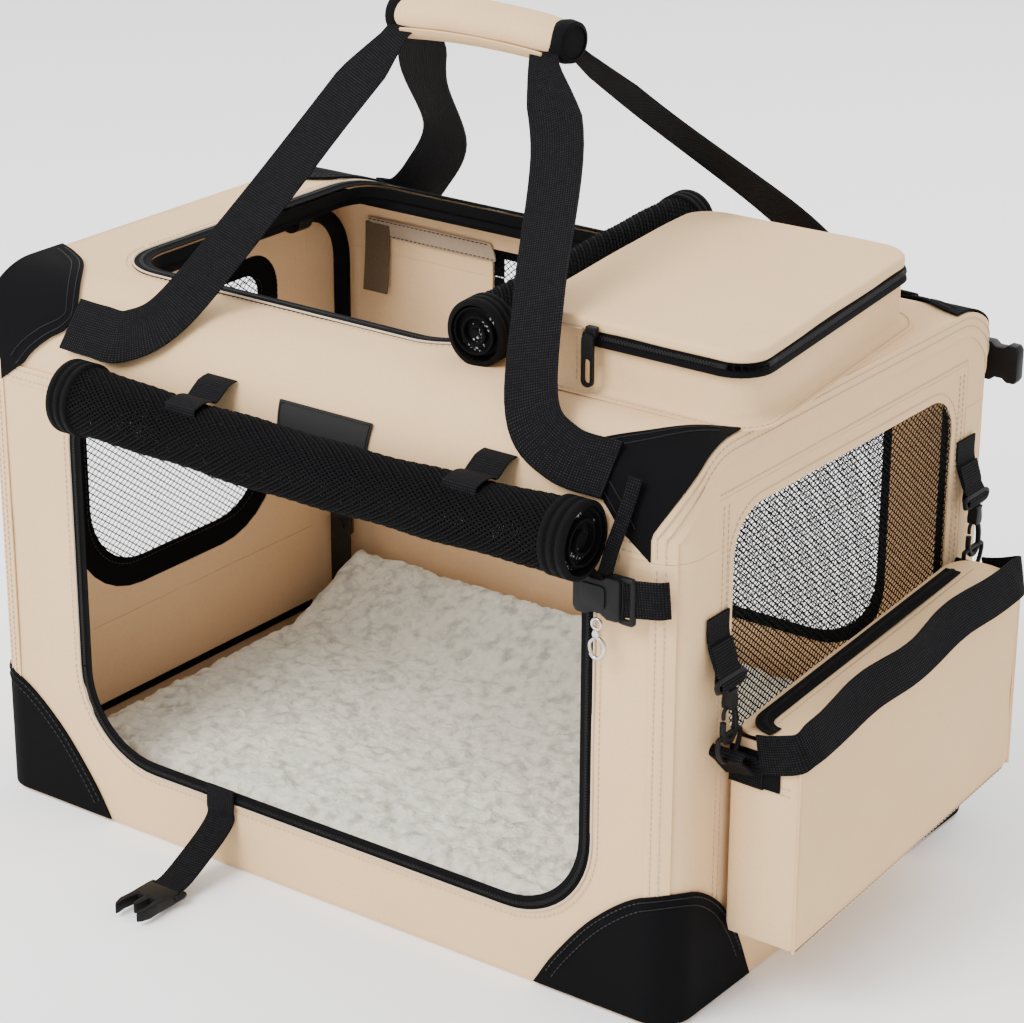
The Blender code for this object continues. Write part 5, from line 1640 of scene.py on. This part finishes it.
def make_plug(word, side):
    """A three-pronged plug on its webbing; the webbing's sewn end stays on the wall."""
    low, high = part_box(word + "_buckle_plug")
    x, y, z = (low[0] + high[0]) / 2, side * HALF_WIDTH, (low[2] + high[2]) / 2
    body, reach = word + "_plug", 0.0640
    route = offsets((x, y, 0), [(0, 3.3, 46.5), (0, 3.5, 39), (0, 14, 30), (0, 34, 19), (0, 52, 10.5),
                                (0, 65, 8.2)], side)
    made = strap(word + "_plug_strap", route, [FACING_X] * 6, BUCKLE_WEBBING, body, 0.0020)
    sewn = offsets((x, y, 0), [(0, 2.4, 63), (0, 3, 54), (0, 3.4, 46.2)], side)
    fold_wall(strap(word + "_plug_sewn_end", sewn, [FACING_X] * 3, BUCKLE_WEBBING, "root", 0.0020))
    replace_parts(made, word + "_plug_webbing")
    half = [(0.0, 0.0140), (0.012, 0.0140), (0.0160, 0.0138), (0.0215, 0.0138), (0.030, 0.0145), (0.0365, 0.0125),
            (0.0400, 0.0098), (0.0375, 0.0090), (0.0300, 0.0098), (0.0180, 0.0080), (0.0180, 0.0028),
            (0.0290, 0.0024), (0.0320, 0.0)]
    prongs = half + [(a, -b) for a, b in half[-2::-1]]
    plug = solid(word + "_plug_body", prongs, (x, y + side * reach, z), (0, side, 0), FACING_X, 0.0078, 0.0011,
                 "plastic", body)
    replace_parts(plug, word + "_buckle_plug")
    corners = [(dx, side * dy, 0) for dx, dy in ((-0.0145, -0.004), (0.0145, -0.004), (0.0145, 0.003),
                                                 (-0.0145, 0.003))]
    frame_bar(word + "_plug_bar", (x, y + side * reach, z), corners, FACING_Z, 0.0024, body, 0.0016)


def make_clasp():
    """A small lobster clasp below the front buckle, the strap above it, and the doorway's slider."""
    low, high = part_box("clasp")
    top = ((low[0] + high[0]) / 2, (low[1] + high[1]) / 2, high[2])
    rod = {"finish": "chrome", "body": "clasp", "slot": "bright_metal", "normal": FACING_Y}
    eye = [(top[0] + 0.0036 * math.sin(a), top[1], top[2] - 0.0030 + 0.0036 * math.cos(a)) for a in full_turn(14)]
    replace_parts(ring_piece("clasp_eye", eye, 0.0010, **rod), "clasp")
    neck = [(-0.0022, 0.0), (0.0022, 0.0), (0.0026, 0.0024), (0.0016, 0.0050), (-0.0016, 0.0050),
            (-0.0026, 0.0024)]
    solid("clasp_neck", neck, offsets(top, [(0, 0, -11.8)])[0], FACING_X, FACING_Z, 0.0036, 0.0008, "chrome",
          "clasp")
    claw = offsets(top, [(-0.5, 0, -11.5), (4.8, 0, -14.5), (5.8, 0, -20), (3, 0, -25.5), (-1.5, 0, -26.2),
                         (-4.2, 0, -23.5)])
    ring_piece("clasp_claw", claw, 0.0015, closed=False, **rod)
    gate = offsets(top, [(-1.2, 0, -12.5), (-4.8, 0, -16.5), (-5, 0, -20.5), (-4, 0, -23.2)])
    ring_piece("clasp_gate", gate, 0.0011, closed=False, **rod)
    thin = [(0.2640, -0.1985, 0.380), (0.2630, -0.2030, 0.368), (0.2600, -0.2085, 0.350), (0.2560, -0.2110, 0.335),
            (0.2520, -0.2112, 0.320), (0.2500, -0.2112, 0.3150)]
    strap("thin_strap", thin, [(1, 0.1, 0)] * 6, 0.0100, "top", 0.0014)
    low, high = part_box("door_slider")
    body = [(-0.0040, -0.0050), (0.0040, -0.0050), (0.0048, 0.0), (0.0034, 0.0052), (-0.0034, 0.0052),
            (-0.0048, 0.0)]
    slider = solid("doorway_slider", body, (low + high) / 2, FACING_X, FACING_Z, high[1] - low[1], 0.0009,
                   "chrome", "door_slider")
    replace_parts(slider, "door_slider")


# ---- inside the bag --------------------------------------------------------------------------
def make_inside():
    """Sleeves on the hoops, bindings, and hook-and-loop strips."""
    sleeve_r, bend = 0.0068, 0.045
    sleeve = [(sleeve_r * math.cos(a) * (1.0 + 0.04 * math.sin(3 * a)), sleeve_r * math.sin(a))
              for a in full_turn(12)]
    for word in ("left", "right"):
        low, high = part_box(word + "_hoop")
        x, foot = (low[0] + high[0]) / 2, low[2] + 0.03
        half_y, top = (high[1] - low[1]) / 2 - 0.006, high[2] - 0.006
        corner = [(bend * math.cos(a), bend * math.sin(a)) for a in np.linspace(0, math.pi / 2, 8)]
        path = [(x, -half_y, foot)]
        path += [(x, bend - half_y - out, top - bend + up) for out, up in corner]
        path += [(x, half_y - bend + out, top - bend + up) for out, up in corner[::-1]]
        path = resample(path + [(x, half_y, foot)], 0.006)
        swept(word + "_hoop_sleeve", path, facing(FACING_X, path), sleeve, "binding", word + "_end",
              False, 60)
    make_hook_and_loop()
    low, high = TOP_Y[0] + 0.15, TOP_Y[1] - 0.004
    flap_low, flap_high = HEIGHT - 0.060, HEIGHT + 0.006

    def flap_place(u, v):
        lean = (HEIGHT + 0.004 - v)
        x = TOP_X[1] - 0.004 - 0.25 * lean + 0.003 * np.sin(u * 40)
        return np.stack([x, u, v], -1), facing((-1, 0, 0), u)
    net("roof_flap_net", lambda u, v: (u > low) & (u < high) & (v > flap_low + 0.02 * (high - u)), (low, high),
        (flap_low, flap_high), flap_place, "top", cell=(0.0062, 0.0046), strand=0.0005)
    for word, side in (("left", -1), ("right", 1)):
        x = side * (HALF_LENGTH - 0.0042)
        path = [(x, y, 0.0235) for y in np.linspace(-END_HALF + 0.004, END_HALF - 0.004, 30)]
        swept(word + "_floor_binding", path, facing((-side, 0, 0), path), strap_profile(0.006, 0.0016, 0.0004),
              "binding", "root")


def make_hook_and_loop():
    """A loop strip along the back band's lining and a hook tab that hangs from it."""
    low_v, high_v = 0.2185, 0.2345
    start, stop = -0.275, BACK_X[0] - 0.006
    cloth_panel("velcro_strip", outline((start, low_v), (stop, high_v), [0.001] * 4, 2), roof_place, "velcro",
                "top", 0.006, 0.0014, grow=-0.0046, wrinkle=0.0002, seed=41)
    for v in (low_v + 0.0015, high_v - 0.0015):
        point, normal = on_surface([(u, v) for u in np.linspace(start + 0.001, stop - 0.001, 40)], roof_place,
                                   -0.0062)
        stitch(point, -normal, "top", "dark_thread")
    low_z, high_z = 0.296, 0.352
    tab = flat_slab("velcro_tab", rectangle((-0.2640, -0.2400), (low_z, high_z)), (), 0.006, 0.0016)

    def tab_place(u, v):
        y = HALF_WIDTH - 0.0075 - 0.004 * ((high_z - v) / (high_z - low_z)) ** 2
        return np.stack([u, y, v], -1), facing((0, -1, 0), u)
    place_slab(tab, tab_place, 0.0, 0.0008, 42)
    finish_mesh("velcro_tab", tab, "hooks", "top")


def make_light():
    world = bpy.data.worlds.new("studio")
    world.use_nodes = True
    world.node_tree.nodes["Background"].inputs["Color"].default_value = (1, 1, 1, 1)
    world.node_tree.nodes["Background"].inputs["Strength"].default_value = 1.48
    bpy.context.scene.world = world
    for name, place, size, power in (("key", (-0.6, -2.4, 2.5), 1.6, 132), ("fill", (-2.4, -0.8, 1.6), 2.0, 22),
                                     ("back", (0.2, 2.2, 2.2), 1.8, 44)):
        lamp = bpy.data.objects.new(name, bpy.data.lights.new(name, "AREA"))
        lamp.data.size = size
        lamp.data.energy = power
        lamp.location = place
        lamp.rotation_euler = (Vector((0, 0, 0.2)) - Vector(place)).to_track_quat("-Z", "Y").to_euler()
        bpy.context.scene.collection.objects.link(lamp)
    floor = bpy.data.objects.new("studio_floor", mesh_from("studio_floor", [(-6, -6, 0), (6, -6, 0), (6, 6, 0),
                                                                          (-6, 6, 0)], [(0, 1, 2, 3)]))
    floor.location.z = -0.0004
    paper = Nodes("studio_paper")
    paper.shader.inputs["Base Color"].default_value = (1.0, 1.0, 1.0, 1)
    paper.shader.inputs["Roughness"].default_value = 0.9
    floor.data.materials.append(paper.made)
    bpy.context.scene.collection.objects.link(floor)


def paint_cad():
    """CAD nodes that stay as they are get their finish here."""
    finishes = {"steel": ("base_tube_loop", "left_hoop", "right_hoop", "hinge_bracket"),
                "binding": ("top_rail",),
                "plastic": ("rail_runner", "snap_hook", "front_buckle", "back_buckle", "pocket_slider",
                            "pocket_pull", "pouch_ring"),
                "chrome": ("clasp", "door_slider")}
    for finish, starts in finishes.items():
        for name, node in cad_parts.items():
            if name.startswith(starts):
                for slot in node.material_slots:
                    slot.material = MAT[finish]


# ---- build ---------------------------------------------------------------------------------
make_light()
paint_cad()
make_walls()
make_roof()
make_ends()
make_side_door()
make_window()
make_back_window()
make_seams()
make_patches()
make_openings()
make_straps()
make_grip()
make_rolls()
make_label()
make_pad()
make_pocket()
make_pouch()
make_hooks()
make_buckles()
make_clasp()
make_inside()
make_stitches()
